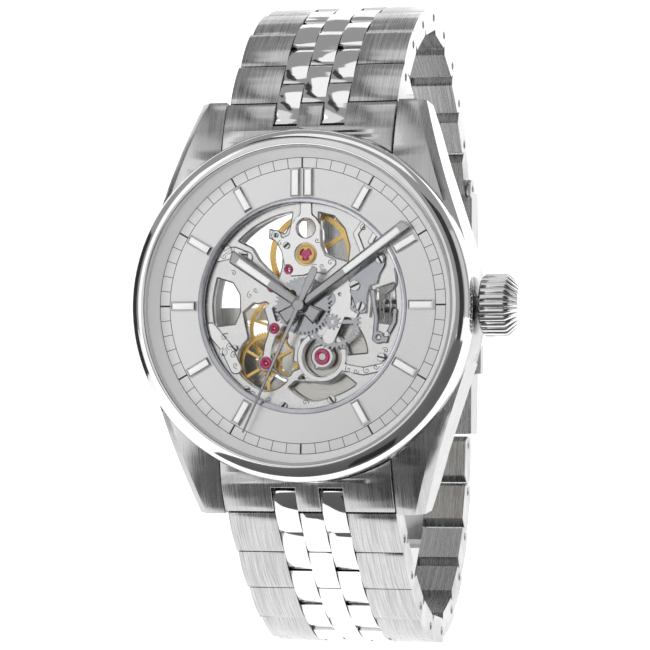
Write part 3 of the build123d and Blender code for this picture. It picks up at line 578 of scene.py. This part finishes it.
def baton_into(frames, fills, angle, offset, width, length, middle_r):
    turn = math.radians(angle)

    def point(x, z, depth):
        x, z = x + offset, z + middle_r
        return at(x * math.cos(turn) + z * math.sin(turn), z * math.cos(turn) - x * math.sin(turn), depth)

    rings = []
    for half_w, half_l, depth in baton_rings(width, length):
        corners = ((-half_w, -half_l), (half_w, -half_l), (half_w, half_l), (-half_w, half_l))
        rings.append([frames.verts.new(point(x, z, depth)) for x, z in corners])
    for here, there in zip(rings, rings[1:]):
        for k in range(4):
            n = (k + 1) % 4
            frames.faces.new((here[k], here[n], there[n], there[k]))
    frames.faces.new(rings[0])
    frames.faces.new(rings[-1])
    half_w, half_l, depth = baton_rings(width, length)[-1]
    lift = 0.03
    crown = [(half_w - 0.02, half_l - 0.02, depth - 0.002), (half_w - 0.07, half_l - 0.07, depth - lift)]
    rings = [[fills.verts.new(point(sx * w, sz * h, d)) for sx, sz in ((-1, -1), (1, -1), (1, 1), (-1, 1))]
             for w, h, d in crown]
    for k in range(4):
        n = (k + 1) % 4
        fills.faces.new((rings[0][k], rings[0][n], rings[1][n], rings[1][k]))
    fills.faces.new(rings[1])


def indices():
    frames, fills = bmesh.new(), bmesh.new()
    for hour in (1, 2, 3, 4, 5, 7, 8, 9, 10, 11):
        baton_into(frames, fills, 30 * hour, 0.0, 1.1, 3.0, 14.3)
    for side in (1, -1):
        baton_into(frames, fills, 0, side * 0.78, 1.15, 3.3, 14.3)
    piece("index_frames", from_bmesh("index_frames", frames), STEEL_POLISHED, "case",
          ["hour_indices"])
    piece("index_fills", from_bmesh("index_fills", fills), LUME, "case")


# ---- hands ----
def prism_into(shape, points, angle, front, back, bevel):
    """A flat bar with a bevelled front, drawn towards 12 and turned clockwise by angle."""
    turn = math.radians(angle)

    def turned(x, z, depth):
        return at(x * math.cos(turn) + z * math.sin(turn), z * math.cos(turn) - x * math.sin(turn), depth)

    part = bmesh.new()
    low = [part.verts.new(turned(x, z, back)) for x, z in points]
    high = [part.verts.new(turned(x, z, front)) for x, z in points]
    part.faces.new(low)
    top = part.faces.new(high)
    for k in range(len(points)):
        n = (k + 1) % len(points)
        part.faces.new((low[k], low[n], high[n], high[k]))
    bmesh.ops.recalc_face_normals(part, faces=part.faces)
    if bevel:
        bmesh.ops.bevel(part, geom=list(top.edges), offset=bevel * MM, offset_type="OFFSET",
                        segments=1, profile=0.5, affect="EDGES")
    merge(shape, part)


def hand(name, angle, outline, bar, layer, hub_r, bevel, body):
    front, back = layer
    shape = bmesh.new()
    prism_into(shape, outline, angle, front, back, bevel)
    hub = [(0.02, front - 0.03), (hub_r - 0.14, front - 0.03), (hub_r, front + 0.08), (hub_r, back),
           (0.02, back)]
    spin_into(shape, hub, steps=64)
    piece(name, from_bmesh(name, shape), HAND_STEEL, body, [name.replace("_blade", "")])
    if bar:
        half, start, end = bar
        fill = bmesh.new()
        corners = [(-half, start), (-half, end), (half, end), (half, start)]
        prism_into(fill, corners, angle, front - 0.06, front + 0.05, 0.06)
        piece(name.replace("_blade", "_bar"), from_bmesh(name + "_bar", fill), LUME, body)


def hands():
    """Each outline runs along its hand: place across it, and place along it from the centre."""
    hour = [(-0.5, 0), (-0.75, 9.9), (-0.62, 10.1), (0.62, 10.5), (0.75, 10.3), (0.5, 0),
            (1.0, -2.5), (-1.0, -2.5)]
    minute = [(-0.48, 0), (-0.7, 15.4), (-0.58, 15.6), (0.58, 16), (0.7, 15.8), (0.48, 0),
              (0.95, -2.6), (-0.95, -2.6)]
    seconds = [(-0.26, 0), (-0.1, 16.2), (0.1, 16.2), (0.26, 0), (0.48, -3.2), (0.46, -4.4),
               (0.25, -4.8), (-0.25, -4.8), (-0.46, -4.4), (-0.48, -3.2)]
    hand("hour_hand_blade", 304.3, hour, (0.36, 4.6, 9.2), (-0.56, -0.34), 1.15, 0.2, "hour_hand")
    hand("minute_hand_blade", 53.8, minute, (0.33, 6.6, 14.6), (-0.98, -0.76), 0.95, 0.2, "minute_hand")
    hand("seconds_hand_blade", 204.3, seconds, None, (-1.36, -1.2), 0.75, 0.06, "seconds_hand")


# ---- bezel and crown ----
def through(first, middle, last, steps=16):
    """Points of the circular arc through three points."""
    (ax, ay), (bx, by), (cx, cy) = first, middle, last
    d = 2 * (ax * (by - cy) + bx * (cy - ay) + cx * (ay - by))
    a2, b2, c2 = ax * ax + ay * ay, bx * bx + by * by, cx * cx + cy * cy
    ux = (a2 * (by - cy) + b2 * (cy - ay) + c2 * (ay - by)) / d
    uy = (a2 * (cx - bx) + b2 * (ax - cx) + c2 * (bx - ax)) / d
    r = math.hypot(ax - ux, ay - uy)
    start, bend = math.atan2(ay - uy, ax - ux), math.atan2(by - uy, bx - ux)
    end = math.atan2(cy - uy, cx - ux)
    full = 2 * math.pi
    sweep = (end - start) % full
    if (bend - start) % full > sweep:
        sweep -= full
    return [(ux + r * math.cos(start + sweep * i / steps), uy + r * math.sin(start + sweep * i / steps))
            for i in range(steps + 1)]


def gaskets():
    """A nylon ring round the crystal and a rubber one under the case back."""
    front = [(18.23, -2.1), (18.3, -2.16), (18.48, -2.16), (18.48, -1.52), (18.23, -1.52)]
    back = [(16.2, 5.75), (16.25, 5.7), (16.85, 5.7), (16.9, 5.75), (16.9, 6.18), (16.2, 6.18)]
    piece("crystal_gasket", spun("crystal_gasket", [(front, (0, 0))], 240), NYLON, "case",
          ["gaskets"])
    piece("back_gasket", spun("back_gasket", [(back, (0, 0))], 240), RUBBER, "case")


def bezel():
    dome = through((18.78, -2.3), (19.9, -1.78), (20.5, -0.4))
    inner_step = [(18.5, -2.18), (18.56, -2.27), (18.7, -2.3)]
    foot = [(20.5, 0.44), (20.44, 0.5), (18.5, 0.5)]
    piece("bezel_ring", spun("bezel_ring", [(inner_step + dome + foot, (0, 0))], 360), STEEL_POLISHED,
          "case", ["bezel"], sharp=25)


CROWN_AXIS_DEPTH = 3.9
CROWN_RIBS = 26
# along the crown: place on X, radius on a rib, radius in a groove
CROWN_ROWS = [(23.0, 0.6, 0.6), (23.0, 1.35, 1.35), (20.8, 1.35, 1.35), (20.8, 3.2, 3.2),
              (20.85, 3.42, 3.28), (21.1, 3.65, 3.34), (23.7, 3.65, 3.34), (23.95, 3.58, 3.28),
              (24.55, 2.98, 2.78), (25.1, 2.4, 2.32), (25.2, 2.24, 2.24), (25.2, 1.0, 1.0)]


def crown():
    """A fluted crown with a fluted cone and a flat end."""
    per_rib = 12
    steps = CROWN_RIBS * per_rib
    shape = bmesh.new()
    rings = []
    for x, rib_r, groove_r in CROWN_ROWS:
        ring = []
        for i in range(steps):
            angle = 2 * math.pi * i / steps
            swell = abs(math.cos(math.pi * i / per_rib)) ** 0.55
            r = groove_r + (rib_r - groove_r) * swell
            ring.append(shape.verts.new(at(x, r * math.sin(angle), CROWN_AXIS_DEPTH + r * math.cos(angle))))
        rings.append(ring)
    for here, there in zip(rings, rings[1:]):
        for k in range(steps):
            n = (k + 1) % steps
            shape.faces.new((here[k], here[n], there[n], there[k]))
    shape.faces.new(rings[-1])
    shape.faces.new(rings[0][::-1])
    piece("crown_knob", from_bmesh("crown_knob", shape), STEEL_POLISHED, "crown",
          ["crown"], sharp=38)


# ---- movement ----
CENTRE, THIRD, INTERMEDIATE = (0.0, 0.0), (-3.6, -2.6), (-4.6, -6.66)
BARREL, ESCAPE, PALLET, BALANCE = (2.2, -5.9), (-3.9, 2.2), (-1.9, 4.25), (0.2, 6.0)
MINUTE_WORK = (3.6, -1.88)
SEATS = [(INTERMEDIATE, 0.62), (THIRD, 0.5), (ESCAPE, 0.45), (PALLET, 0.42), (BARREL, 0.8)]


def plate_windows(f):
    """The openings cut through the main plate."""
    left = f.polygon([(-10.6, 3.3), (-8.7, 2.7), (-7.9, 1.4), (-7.8, -0.6), (-8.4, -2.0), (-10.9, -2.3),
                      (-11.2, 0.4)])
    upper_left = f.polygon([(-8.0, 7.7), (-6.2, 9.3), (-3.6, 10.5), (-1.5, 10.95), (-1.75, 9.6),
                            (-2.4, 8.5), (-4.3, 9.1), (-4.35, 7.9), (-3.1, 7.3), (-2.7, 5.9),
                            (-2.75, 4.6), (-3.1, 3.2), (-4.6, 4.6), (-5.4, 5.4), (-6.3, 6.9)])
    upper_right = f.polygon([(1.75, 10.85), (3.5, 10.4), (4.8, 8.9), (5.4, 6.9), (5.2, 5.2),
                             (3.9, 5.6), (2.6, 6.2), (2.2, 7.2), (2.15, 8.7), (1.75, 9.7)])
    lower_left = f.polygon([(-7.3, -0.7), (-6.1, 0.3), (-4.6, 0.4), (-3.2, -0.5), (-2.2, -1.9),
                            (-2.0, -3.6), (-2.4, -4.6), (-3.6, -5.0), (-5.6, -4.4), (-6.6, -3.9),
                            (-7.0, -2.2)])
    return [left, upper_left, upper_right, lower_left,
            f.circle((0.2, 9.05), 1.1),
            f.circle(CENTRE, 2.6),
            f.circle((-4.65, -6.5), 3.35),
            f.sector(BARREL, 3.1, 5.4, 5, 62),
            f.sector(BARREL, 2.75, 3.7, 140, 205),
            f.sector(BARREL, 3.2, 5.3, 222, 322),
            f.ring(BARREL, 1.35, 2.3),
            f.polygon([(8.7, 1.9), (10.9, 2.6), (11.1, -2.2), (8.9, -1.9)])]


def main_plate():
    """The skeletonised plate, its wall behind, and raised bridges on its front."""
    f = Field()
    f.join(f.circle(CENTRE, 12.8)).cut(*plate_windows(f), soft=0.25)
    f.join(f.ring(CENTRE, 11.05, 12.8),
           f.path([(-4.3, -0.4), THIRD, (-4.3, -4.6), INTERMEDIATE], 1.15),
           f.path([CENTRE, (-1.6, -1.1), THIRD], 1.1),
           f.path([ESCAPE, (-5.6, 0.8)], 1.1),
           f.path([PALLET, (-2.6, 3.0), ESCAPE], 1.0),
           f.path([CENTRE, MINUTE_WORK], 1.4), f.path([CENTRE, (1.4, 3.2)], 1.6),
           f.path([CENTRE, (-0.6, -3.2), (-0.9, -6.2)], 0.9),
           f.path([INTERMEDIATE, (-2.6, -8.2), (0.0, -8.75), (2.2, -8.5), (4.6, -7.7)], 0.42),
           f.path([(2.9, -4.6), BARREL, (1.5, -7.2)], 0.5),
           f.circle(BARREL, 1.3), soft=0.3)
    f.join(*[f.circle(centre, r + 0.42) for centre, r in SEATS], soft=0.2)
    f.cut(*[f.circle(centre, r) for centre, r in SEATS], f.circle(BALANCE, 1.0), f.circle(CENTRE, 0.44))
    raised = Field(cell=0.06)
    lyre = raised.polygon([(-3.9, 8.3), (-3.3, 8.7), (-2.6, 8.0), (-1.9, 8.35), (-1.6, 9.6), (0.2, 9.7),
                           (1.9, 9.6), (2.0, 8.4), (2.1, 7.0), (2.6, 5.9), (3.8, 5.4), (3.9, 4.8),
                           (2.6, 3.6), (1.2, 3.9), (0.0, 3.5), (-1.6, 3.4), (-2.3, 4.3), (-2.8, 6.4)])
    raised.join(lyre, raised.circle((0.2, 9.05), 1.75), raised.path([(0.2, 10.3), (0.2, 11.6)], 1.5),
                raised.circle((-3.4, 8.25), 0.6), soft=0.3)
    raised.join(raised.path([(11.2, -5.6), (9.6, -7.1), (7.2, -7.6), (5.0, -7.2)], 1.0),
                raised.ring(BARREL, 2.3, 3.0), raised.path([(4.2, -4.2), (5.6, -2.7)], 1.1),
                raised.path([(-11.3, -2.6), (-9.4, -4.8), (-8.2, -7.2)], 1.5),
                raised.path([(-10.3, 5.9), (-8.5, 6.3), (-6.9, 5.7)], 1.4),
                raised.path([(7.4, 10.0), (6.2, 8.3), (7.0, 6.3)], 0.7),
                raised.path([(7.4, 10.0), (8.7, 8.6), (8.0, 7.4)], 0.7), soft=0.25)
    raised.cut(raised.circle((0.2, 9.05), 1.1), raised.circle(BALANCE, 1.25), raised.circle(PALLET, 0.5),
               raised.circle(CENTRE, 3.4), raised.circle(MINUTE_WORK, 3.25))
    base = plate_mesh("main_plate_front", [(f, 1.1, 1.9, 0.18)])
    piece("main_plate_front", base, RHODIUM, "case", ["main_plate"], sharp=20)
    bridges = plate_mesh("raised_bridges", [(raised, 0.9, 1.12, 0.13)])
    piece("raised_bridges", bridges, RHODIUM_POLISHED, "case", sharp=20)
    wall = [(12.1, 1.9), (12.8, 1.9), (12.8, 4.75), (12.1, 4.75)]
    post = [(0.02, 0.46), (0.24, 0.46), (0.24, 1.2), (0.02, 1.2)]
    piece("plate_wall", spun("plate_wall", [(wall, CENTRE), (post, MINUTE_WORK)], 200), RHODIUM, "case")
    return raised


# the engraver's curls: place, size, start angle, direction
SCROLLS = [
    ((-9.6, -3.6), 0.42, 80, 1), ((-9.0, -4.6), 0.38, 250, -1), ((-8.5, -5.7), 0.4, 90, 1),
    ((-8.2, -6.9), 0.34, 260, -1), ((-9.7, 5.9), 0.36, 200, 1), ((-8.8, 6.6), 0.34, 20, -1),
    ((-6.6, 1.3), 0.38, 120, 1), ((-5.9, 1.9), 0.3, 300, -1), ((5.4, -7.4), 0.36, 150, 1),
    ((6.3, -7.6), 0.3, 330, -1), ((7.6, -7.5), 0.4, 160, 1), ((8.7, -7.1), 0.34, 340, -1),
    ((3.2, 5.0), 0.34, 60, 1), ((2.2, 4.6), 0.3, 240, -1), ((1.2, 4.5), 0.34, 70, 1),
    ((-2.9, 7.3), 0.3, 110, 1), ((1.6, 7.6), 0.3, 300, -1), ((7.1, 9.0), 0.4, 100, 1),
    ((-6.3, -10.2), 0.34, 30, 1), ((-4.2, -10.9), 0.34, 210, -1), ((0.2, -11.2), 0.36, 10, 1),
    ((9.8, -5.2), 0.34, 120, -1), ((4.9, -11.0), 0.3, 190, 1), ((-8.6, 3.9), 0.32, 100, -1),
]


def engraving(raised):
    """Curls on the plate, and on the raised bridges where the plate is covered, drawn near-black as painted
    shade in the engraved grooves.
    """
    shape = bmesh.new()
    for (x, z), size, start, way in SCROLLS:
        covered = raised.sample(np.array([x]), np.array([z]))[0] < 0
        scroll_into(shape, (x, z), size, start, way, 0.9 if covered else 1.1)
    piece("engraved_curls", from_bmesh("engraved_curls", shape), PAINTED_GROOVE_SHADE, "case")


def jewels():
    front = [([(0.17, 1.75), (0.17, 1.5), (r * 0.55, 1.2), (r * 0.86, 1.13), (r - 0.01, 1.2),
               (r - 0.01, 1.85), (0.3, 1.85)], centre) for centre, r in SEATS if centre != BARREL]
    front.append(([(0.43, 1.8), (0.43, 1.3), (0.5, 1.15), (0.72, 1.12), (0.79, 1.2), (0.79, 1.85)], BARREL))
    back_seats = [(INTERMEDIATE, 0.5), (THIRD, 0.5), (ESCAPE, 0.45), (BARREL, 0.8), (CENTRE, 0.6)]
    back = [([(0.44 if centre == BARREL else 0.18, d) for d in (5.05, 4.85)]
             + [(r - 0.01, 4.85), (r - 0.01, 5.08), (r - 0.1, 5.13), (r * 0.7, 5.1)], centre)
            for centre, r in back_seats]
    piece("ruby_jewels", spun("ruby_jewels", front + back, 48), RUBY, "case", ["jewels"])


def shock_setting():
    """Gilt chaton, cap jewel and the three-lobed spring over it."""
    chaton = [(0.8, 1.28), (0.83, 0.98), (0.93, 0.9), (1.04, 0.9), (1.14, 1.0), (1.14, 1.85), (0.8, 1.85)]
    piece("shock_chaton", spun("shock_chaton", [(chaton, BALANCE)], 64), GILT, "case",
          ["shock_setting"])
    cap = [(0.01, 1.08), (0.45, 1.1), (0.7, 1.18), (0.79, 1.3), (0.79, 1.6), (0.01, 1.6)]
    piece("shock_cap_jewel", spun("shock_cap_jewel", [(cap, BALANCE)], 48), RUBY, "case")
    f = Field(half=1.4, cell=0.03, centre=BALANCE)
    x, z = BALANCE
    f.join(f.ring(BALANCE, 0.74, 0.92))
    for angle in (90, 210, 330):
        turn = math.radians(angle)
        f.join(f.circle((x + 0.72 * math.cos(turn), z + 0.72 * math.sin(turn)), 0.26), soft=0.1)
    mesh = plate_mesh("shock_spring", [(f, 0.93, 1.05, 0.03)])
    piece("shock_spring", mesh, GILT, "case")


SCREWS = [((6.2, 2.3), 0.62, 0.72), ((6.9, -0.1), 0.55, 0.72), ((9.2, 5.3), 0.5, 0.72),
          ((9.4, -6.0), 0.5, 0.72), ((-9.2, 6.6), 0.5, 1.1), ((-9.7, -5.3), 0.5, 1.1),
          ((3.4, -10.9), 0.5, 1.1), ((-7.2, 6.0), 0.42, 0.93), ((-2.1, 7.05), 0.42, 0.93),
          ((-3.4, 8.25), 0.3, 0.93), ((-8.4, -4.9), 0.4, 0.93), ((-6.9, -9.7), 0.4, 1.1),
          ((-2.4, -11.6), 0.45, 1.1)]


def screws():
    """Slotted screws with bevelled heads, over near-black discs that are painted shade in their slots."""
    layers, floors = [], []
    for number, (centre, r, seat) in enumerate(SCREWS):
        f = Field(half=r + 0.1, cell=0.035, centre=centre)
        turn = math.radians(25 + 47 * number)
        dx, dz = 2 * r * math.cos(turn), 2 * r * math.sin(turn)
        f.join(f.circle(centre, r))
        f.cut(f.arm((centre[0] - dx, centre[1] - dz), (centre[0] + dx, centre[1] + dz), 0.16))
        layers.append((f, seat - 0.26, seat - 0.12, 0.06))
        # a near-black disc under each head: painted shade seen through the slot
        base = Field(half=r + 0.1, cell=0.05, centre=centre)
        floors.append((base.join(base.circle(centre, r - 0.02)), seat - 0.14, seat, 0.0))
    mesh = plate_mesh("slotted_screws", layers)
    piece("slotted_screws", mesh, STEEL_POLISHED, "case", ["movement_screws"])
    piece("screw_slot_painted_shade", plate_mesh("screw_slot_painted_shade", floors), PAINTED_GROOVE_SHADE, "case")


def keyless_works():
    """Setting lever plate, hooked yoke and their bright curved springs."""
    plate = Field(half=5.2, cell=0.05, centre=(8.6, 1.0))
    plate.join(plate.polygon([(5.5, 1.5), (5.5, 3.0), (6.6, 4.3), (7.2, 5.4), (8.4, 6.1), (9.3, 6.3),
                              (9.9, 5.6), (9.8, 4.6), (9.2, 3.6), (8.9, 2.5), (8.0, 2.2), (7.7, 1.0),
                              (7.6, -0.9), (6.8, -1.0), (6.2, -0.2), (5.9, 0.7)]))
    yoke = Field(half=5.2, cell=0.05, centre=(9.4, -2.4))
    yoke.join(yoke.path([(8.35, 1.6), (8.5, 0.0), (8.75, -1.4), (8.6, -3.0), (9.2, -4.0), (9.9, -4.1),
                         (10.1, -3.3)], 0.55),
              yoke.path([(9.2, -4.0), (10.3, -3.0), (10.9, -1.9), (11.0, -0.6)], 0.6),
              yoke.circle((9.0, -3.7), 0.75), soft=0.2)
    yoke.cut(yoke.circle((9.9, -3.3), 0.3), yoke.circle((9.0, -3.7), 0.24))
    lever = [(plate, 0.72, 1.1, 0.12), (yoke, 0.74, 1.1, 0.12)]
    piece("setting_levers", plate_mesh("setting_levers", lever), GREY_STEEL, "case",
          ["keyless_works"], sharp=20)
    blades = bmesh.new()
    curves = [[(7.3, 4.6), (7.9, 2.6), (8.15, 0.6), (8.0, -1.4)],
              [(10.9, 4.3), (11.1, 2.6), (10.6, 1.8), (9.9, 1.2), (9.6, -0.4), (9.75, -1.9)],
              [(10.35, 1.3), (10.4, -0.4), (10.25, -1.8)]]
    for points in curves:
        line = smooth_line(points)
        wire_into(blades, [at(x, z, 0.9) for x, z in line], 0.12 * MM, sides=8)
    piece("lever_springs", from_bmesh("lever_springs", blades), STEEL_POLISHED, "case")


SETTING_PINION = (2.95, 0.75)
SETTING_TEETH = 13


def minute_work_cover():
    """A bright cover over part of the minute work, with a hole for the setting pinion."""
    cover = Field(half=4.5, cell=0.05, centre=(4.5, -0.5))
    cover.join(cover.polygon([(2.6, 2.3), (4.1, 2.2), (5.3, 3.2), (5.75, 2.4), (5.7, -0.5), (6.6, -1.0),
                              (6.3, -1.5), (4.6, -1.25), (2.9, -1.5)]),
               cover.arm((4.5, -1.2), (3.1, -3.7), 1.0, 1.5))
    cover.cut(cover.circle(SETTING_PINION, 0.95), cover.ring(CENTRE, 0, 3.3), soft=0.1)
    cover.cut(cover.circle((4.4, 1.3), 0.22))
    mesh = plate_mesh("minute_work_cover", [(cover, 0.72, 0.8, 0.03)])
    piece("minute_work_cover", mesh, RHODIUM_POLISHED, "case", sharp=20)


def setting_pinion():
    """The small setting pinion beside the centre."""
    x, z = SETTING_PINION
    reach = 0.78
    f = Field(half=1.2, cell=0.03, centre=SETTING_PINION)
    f.join(f.circle(SETTING_PINION, 0.55))
    for i in range(SETTING_TEETH):
        turn = 2 * math.pi * i / SETTING_TEETH
        tip = (x + reach * math.cos(turn), z + reach * math.sin(turn))
        f.join(f.arm(SETTING_PINION, tip, 0.3, 0.12))
    f.cut(f.circle(SETTING_PINION, 0.16))
    mesh = plate_mesh("setting_pinion", [(f, 0.98, 1.12, 0.04)])
    piece("setting_pinion", mesh, STEEL_POLISHED, "case")


def smooth_line(points, steps=10):
    """A Catmull-Rom line through points."""
    padded = [points[0]] + points + [points[-1]]
    line = []
    for a, b, c, d in zip(padded, padded[1:], padded[2:], padded[3:]):
        for i in range(steps):
            t = i / steps
            line.append(tuple(
                0.5 * (2 * b[k] + (c[k] - a[k]) * t + (2 * a[k] - 5 * b[k] + 4 * c[k] - d[k]) * t * t
                       + (3 * b[k] - a[k] - 3 * c[k] + d[k]) * t ** 3) for k in (0, 1)))
    return line + [points[-1]]


# ---- softened edges on carried-over CAD pieces ----
def soften(name, width, angle=32.0):
    """Round a carried-over node's edges slightly, so that they catch the light."""
    obj = nodes[name]
    weld = obj.modifiers.new("weld", "WELD")
    weld.merge_threshold = 2e-6
    bevel = obj.modifiers.new("edges", "BEVEL")
    bevel.width = width * MM
    bevel.segments = 2
    bevel.limit_method = "ANGLE"
    bevel.angle_limit = math.radians(angle)
    bevel.use_clamp_overlap = True
    bevel.harden_normals = True


def dress(material, *names):
    """Give carried-over CAD nodes their material."""
    for name in names:
        slots = nodes[name].data.materials
        slots.clear()
        slots.append(material)


def matching(text):
    return [name for name in nodes if text in name]


dress(STEEL_BRUSHED, "mid_case", "end_links", "caseback", "clasp_cover", "spring_bars",
      *matching("pusher"))
dress(LINK_STEEL, *matching("_link_"))
dress(STEEL_POLISHED, "bezel", "crown", "hour_hand", "minute_hand", "seconds_hand", "hour_indices")
dress(STEEL_POLISHED, *matching("clasp_long"), *matching("clasp_short"))
dress(GLASS, "crystal", "caseback_crystal")
dress(DIAL_SILVER, "dial")
dress(RHODIUM, "main_plate", "train_bridge", "balance_cock")
dress(RHODIUM_TURNED, "rotor")
dress(DRUM_TURNED, "barrel")
dress(GREY_STEEL, "winding_stem", "sliding_pinion", "movement_screws", "pallet_fork", "hairspring",
      "hour_wheel", "minute_wheel", "centre_wheel", "keyless_works")
dress(GILT, "third_wheel", "intermediate_wheel", "fourth_wheel", "balance_wheel",
      "shock_setting")
dress(COPPER, "escape_wheel")
dress(RUBY, "jewels")


# ---- stage: floor, light and camera ----
FLOOR_DROP = 0.13


def white_floor():
    """A pale sweep that curves up far behind, low enough for the opened bracelet to hang free."""
    low = cad_box[0][2] - FLOOR_DROP
    run = [(-1.4, 0.0), (1.2, 0.0)]
    run += [(1.2 + 0.5 * math.sin(a), 0.5 - 0.5 * math.cos(a))
            for a in (math.radians(6 * i) for i in range(1, 16))]
    run.append((1.7, 2.4))
    mesh = bpy.data.meshes.new("floor")
    points = [(x, y, low + z) for y, z in run for x in (-3.0, 3.0)]
    faces = [(2 * i, 2 * i + 1, 2 * i + 3, 2 * i + 2) for i in range(len(run) - 1)]
    mesh.from_pydata(points, [], faces)
    floor = bpy.data.objects.new("floor", mesh)
    bpy.context.scene.collection.objects.link(floor)
    for face in mesh.polygons:
        face.use_smooth = True
    g = Graph("floor_paper")
    grain = g.noise(g.place((900, 900, 900)))
    g.set(Base_Color=g.tint(grain, (0.86, 0.86, 0.86), (0.9, 0.9, 0.9)))
    g.set(Roughness=0.9, Emission_Color=(1.0, 1.0, 1.0))
    g.shader.inputs["Emission Strength"].default_value = 0.75
    mesh.materials.append(g.material)


def light(name, place, aim, size, power):
    data = bpy.data.lights.new(name, "AREA")
    data.shape = "RECTANGLE"
    data.size, data.size_y = size
    data.energy = power
    lamp = bpy.data.objects.new(name, data)
    lamp.location = place
    lamp.rotation_euler = (Vector(aim) - Vector(place)).to_track_quat("-Z", "Y").to_euler()
    bpy.context.scene.collection.objects.link(lamp)


def card(name, corners, material):
    """A flat card that only reflections see."""
    mesh = bpy.data.meshes.new(name)
    mesh.from_pydata([Vector(corner) for corner in corners], [], [(0, 1, 2, 3)])
    mesh.materials.append(material)
    obj = bpy.data.objects.new(name, mesh)
    obj.visible_camera = False
    obj.visible_shadow = False
    bpy.context.scene.collection.objects.link(obj)


def aimed(azimuth, elevation, distance):
    """A place round the watch: azimuth 0 is in front of the dial, positive towards the crown."""
    a, e = math.radians(azimuth), math.radians(elevation)
    return Vector((math.sin(a) * math.cos(e), -math.cos(a) * math.cos(e), math.sin(e))) * distance


WORLD_LIGHT = 0.36
# name, azimuth, elevation, distance, size, power
SOFTBOXES = [("key", -16, 24, 0.85, (0.8, 0.75), 0.95), ("left", -46, 10, 0.8, (0.3, 0.8), 0.7),
             ("right", 88, 10, 0.8, (0.4, 0.7), 0.3), ("top", 20, 78, 0.7, (0.7, 0.3), 0.5),
             ("wrist_side", 165, 25, 0.8, (0.7, 0.5), 0.9)]
CARD_DISTANCE = 0.6
# name, azimuth, elevation, width, height
BLACK_CARDS = [("card_right", 50, 14, 0.34, 0.62), ("card_left", -94, 2, 0.5, 0.42),
               ("card_top", -40, 58, 0.3, 0.08)]


def flat_card(name, left, right, front, back, height, material):
    """A level card under the watch."""
    card(name, [(left, front, height), (right, front, height), (right, back, height),
                (left, back, height)], material)


def studio():
    """An even white world, softboxes, and dark cards for the polished steel to reflect."""
    world = bpy.data.worlds.new("studio")
    world.use_nodes = True
    background = world.node_tree.nodes["Background"]
    background.inputs["Color"].default_value = (1, 1, 1, 1)
    background.inputs["Strength"].default_value = WORLD_LIGHT
    bpy.context.scene.world = world
    for name, azimuth, elevation, distance, size, power in SOFTBOXES:
        light(name, aimed(azimuth, elevation, distance), (0, 0, 0), size, power)
    black = matt("card_black", (0.01, 0.01, 0.01), (0.02, 0.02, 0.02))
    for name, azimuth, elevation, width, height in BLACK_CARDS:
        centre = aimed(azimuth, elevation, CARD_DISTANCE)
        across = Vector((centre.y, -centre.x, 0)).normalized() * width / 2
        up = across.cross(centre).normalized() * height / 2
        card(name, [centre - across - up, centre + across - up, centre + across + up,
                    centre - across + up], black)
    grey = matt("card_grey", (0.16, 0.16, 0.16), (0.2, 0.2, 0.2))
    low = cad_box[0][2] + 0.003
    flat_card("card_floor", -0.03, 0.16, -0.3, -0.012, low, grey)
    flat_card("card_low", 0.007, 0.021, -0.036, -0.017, low + 0.0005, black)


CAMERA_AZIMUTH = 16.0
CAMERA_ELEVATION = -2.5
CAMERA_ROLL = 0.3
CAMERA_DISTANCE = 0.43
SENSOR = 36.0
LENS = 205.527
SHIFT = (0.03615, -0.03)


def camera():
    """A long lens from slightly right of the dial and slightly below it."""
    azimuth, elevation = math.radians(CAMERA_AZIMUTH), math.radians(CAMERA_ELEVATION)
    towards = Vector((math.sin(azimuth) * math.cos(elevation),
                      -math.cos(azimuth) * math.cos(elevation),
                      math.sin(elevation)))
    target = at(0, 0)
    data = bpy.data.cameras.new("camera")
    data.sensor_width = SENSOR
    data.lens = LENS
    data.shift_x, data.shift_y = SHIFT
    data.clip_start = 0.01
    eye = bpy.data.objects.new("camera", data)
    eye.location = target + towards * CAMERA_DISTANCE
    turn = (-towards).to_track_quat("-Z", "Y").to_matrix()
    eye.rotation_euler = (turn @ Matrix.Rotation(math.radians(CAMERA_ROLL), 3, "Z")).to_euler()
    bpy.context.scene.collection.objects.link(eye)
    bpy.context.scene.camera = eye


dial()
minute_track()
indices()
hands()
bezel()
gaskets()
crown()
engraving(main_plate())
jewels()
shock_setting()
screws()
keyless_works()
minute_work_cover()
setting_pinion()
for name in ["mid_case", "end_links", "caseback", "clasp_cover", *matching("_link_")]:
    soften(name, 0.12)

white_floor()
studio()
camera()
bpy.context.scene.view_settings.view_transform = "Standard"
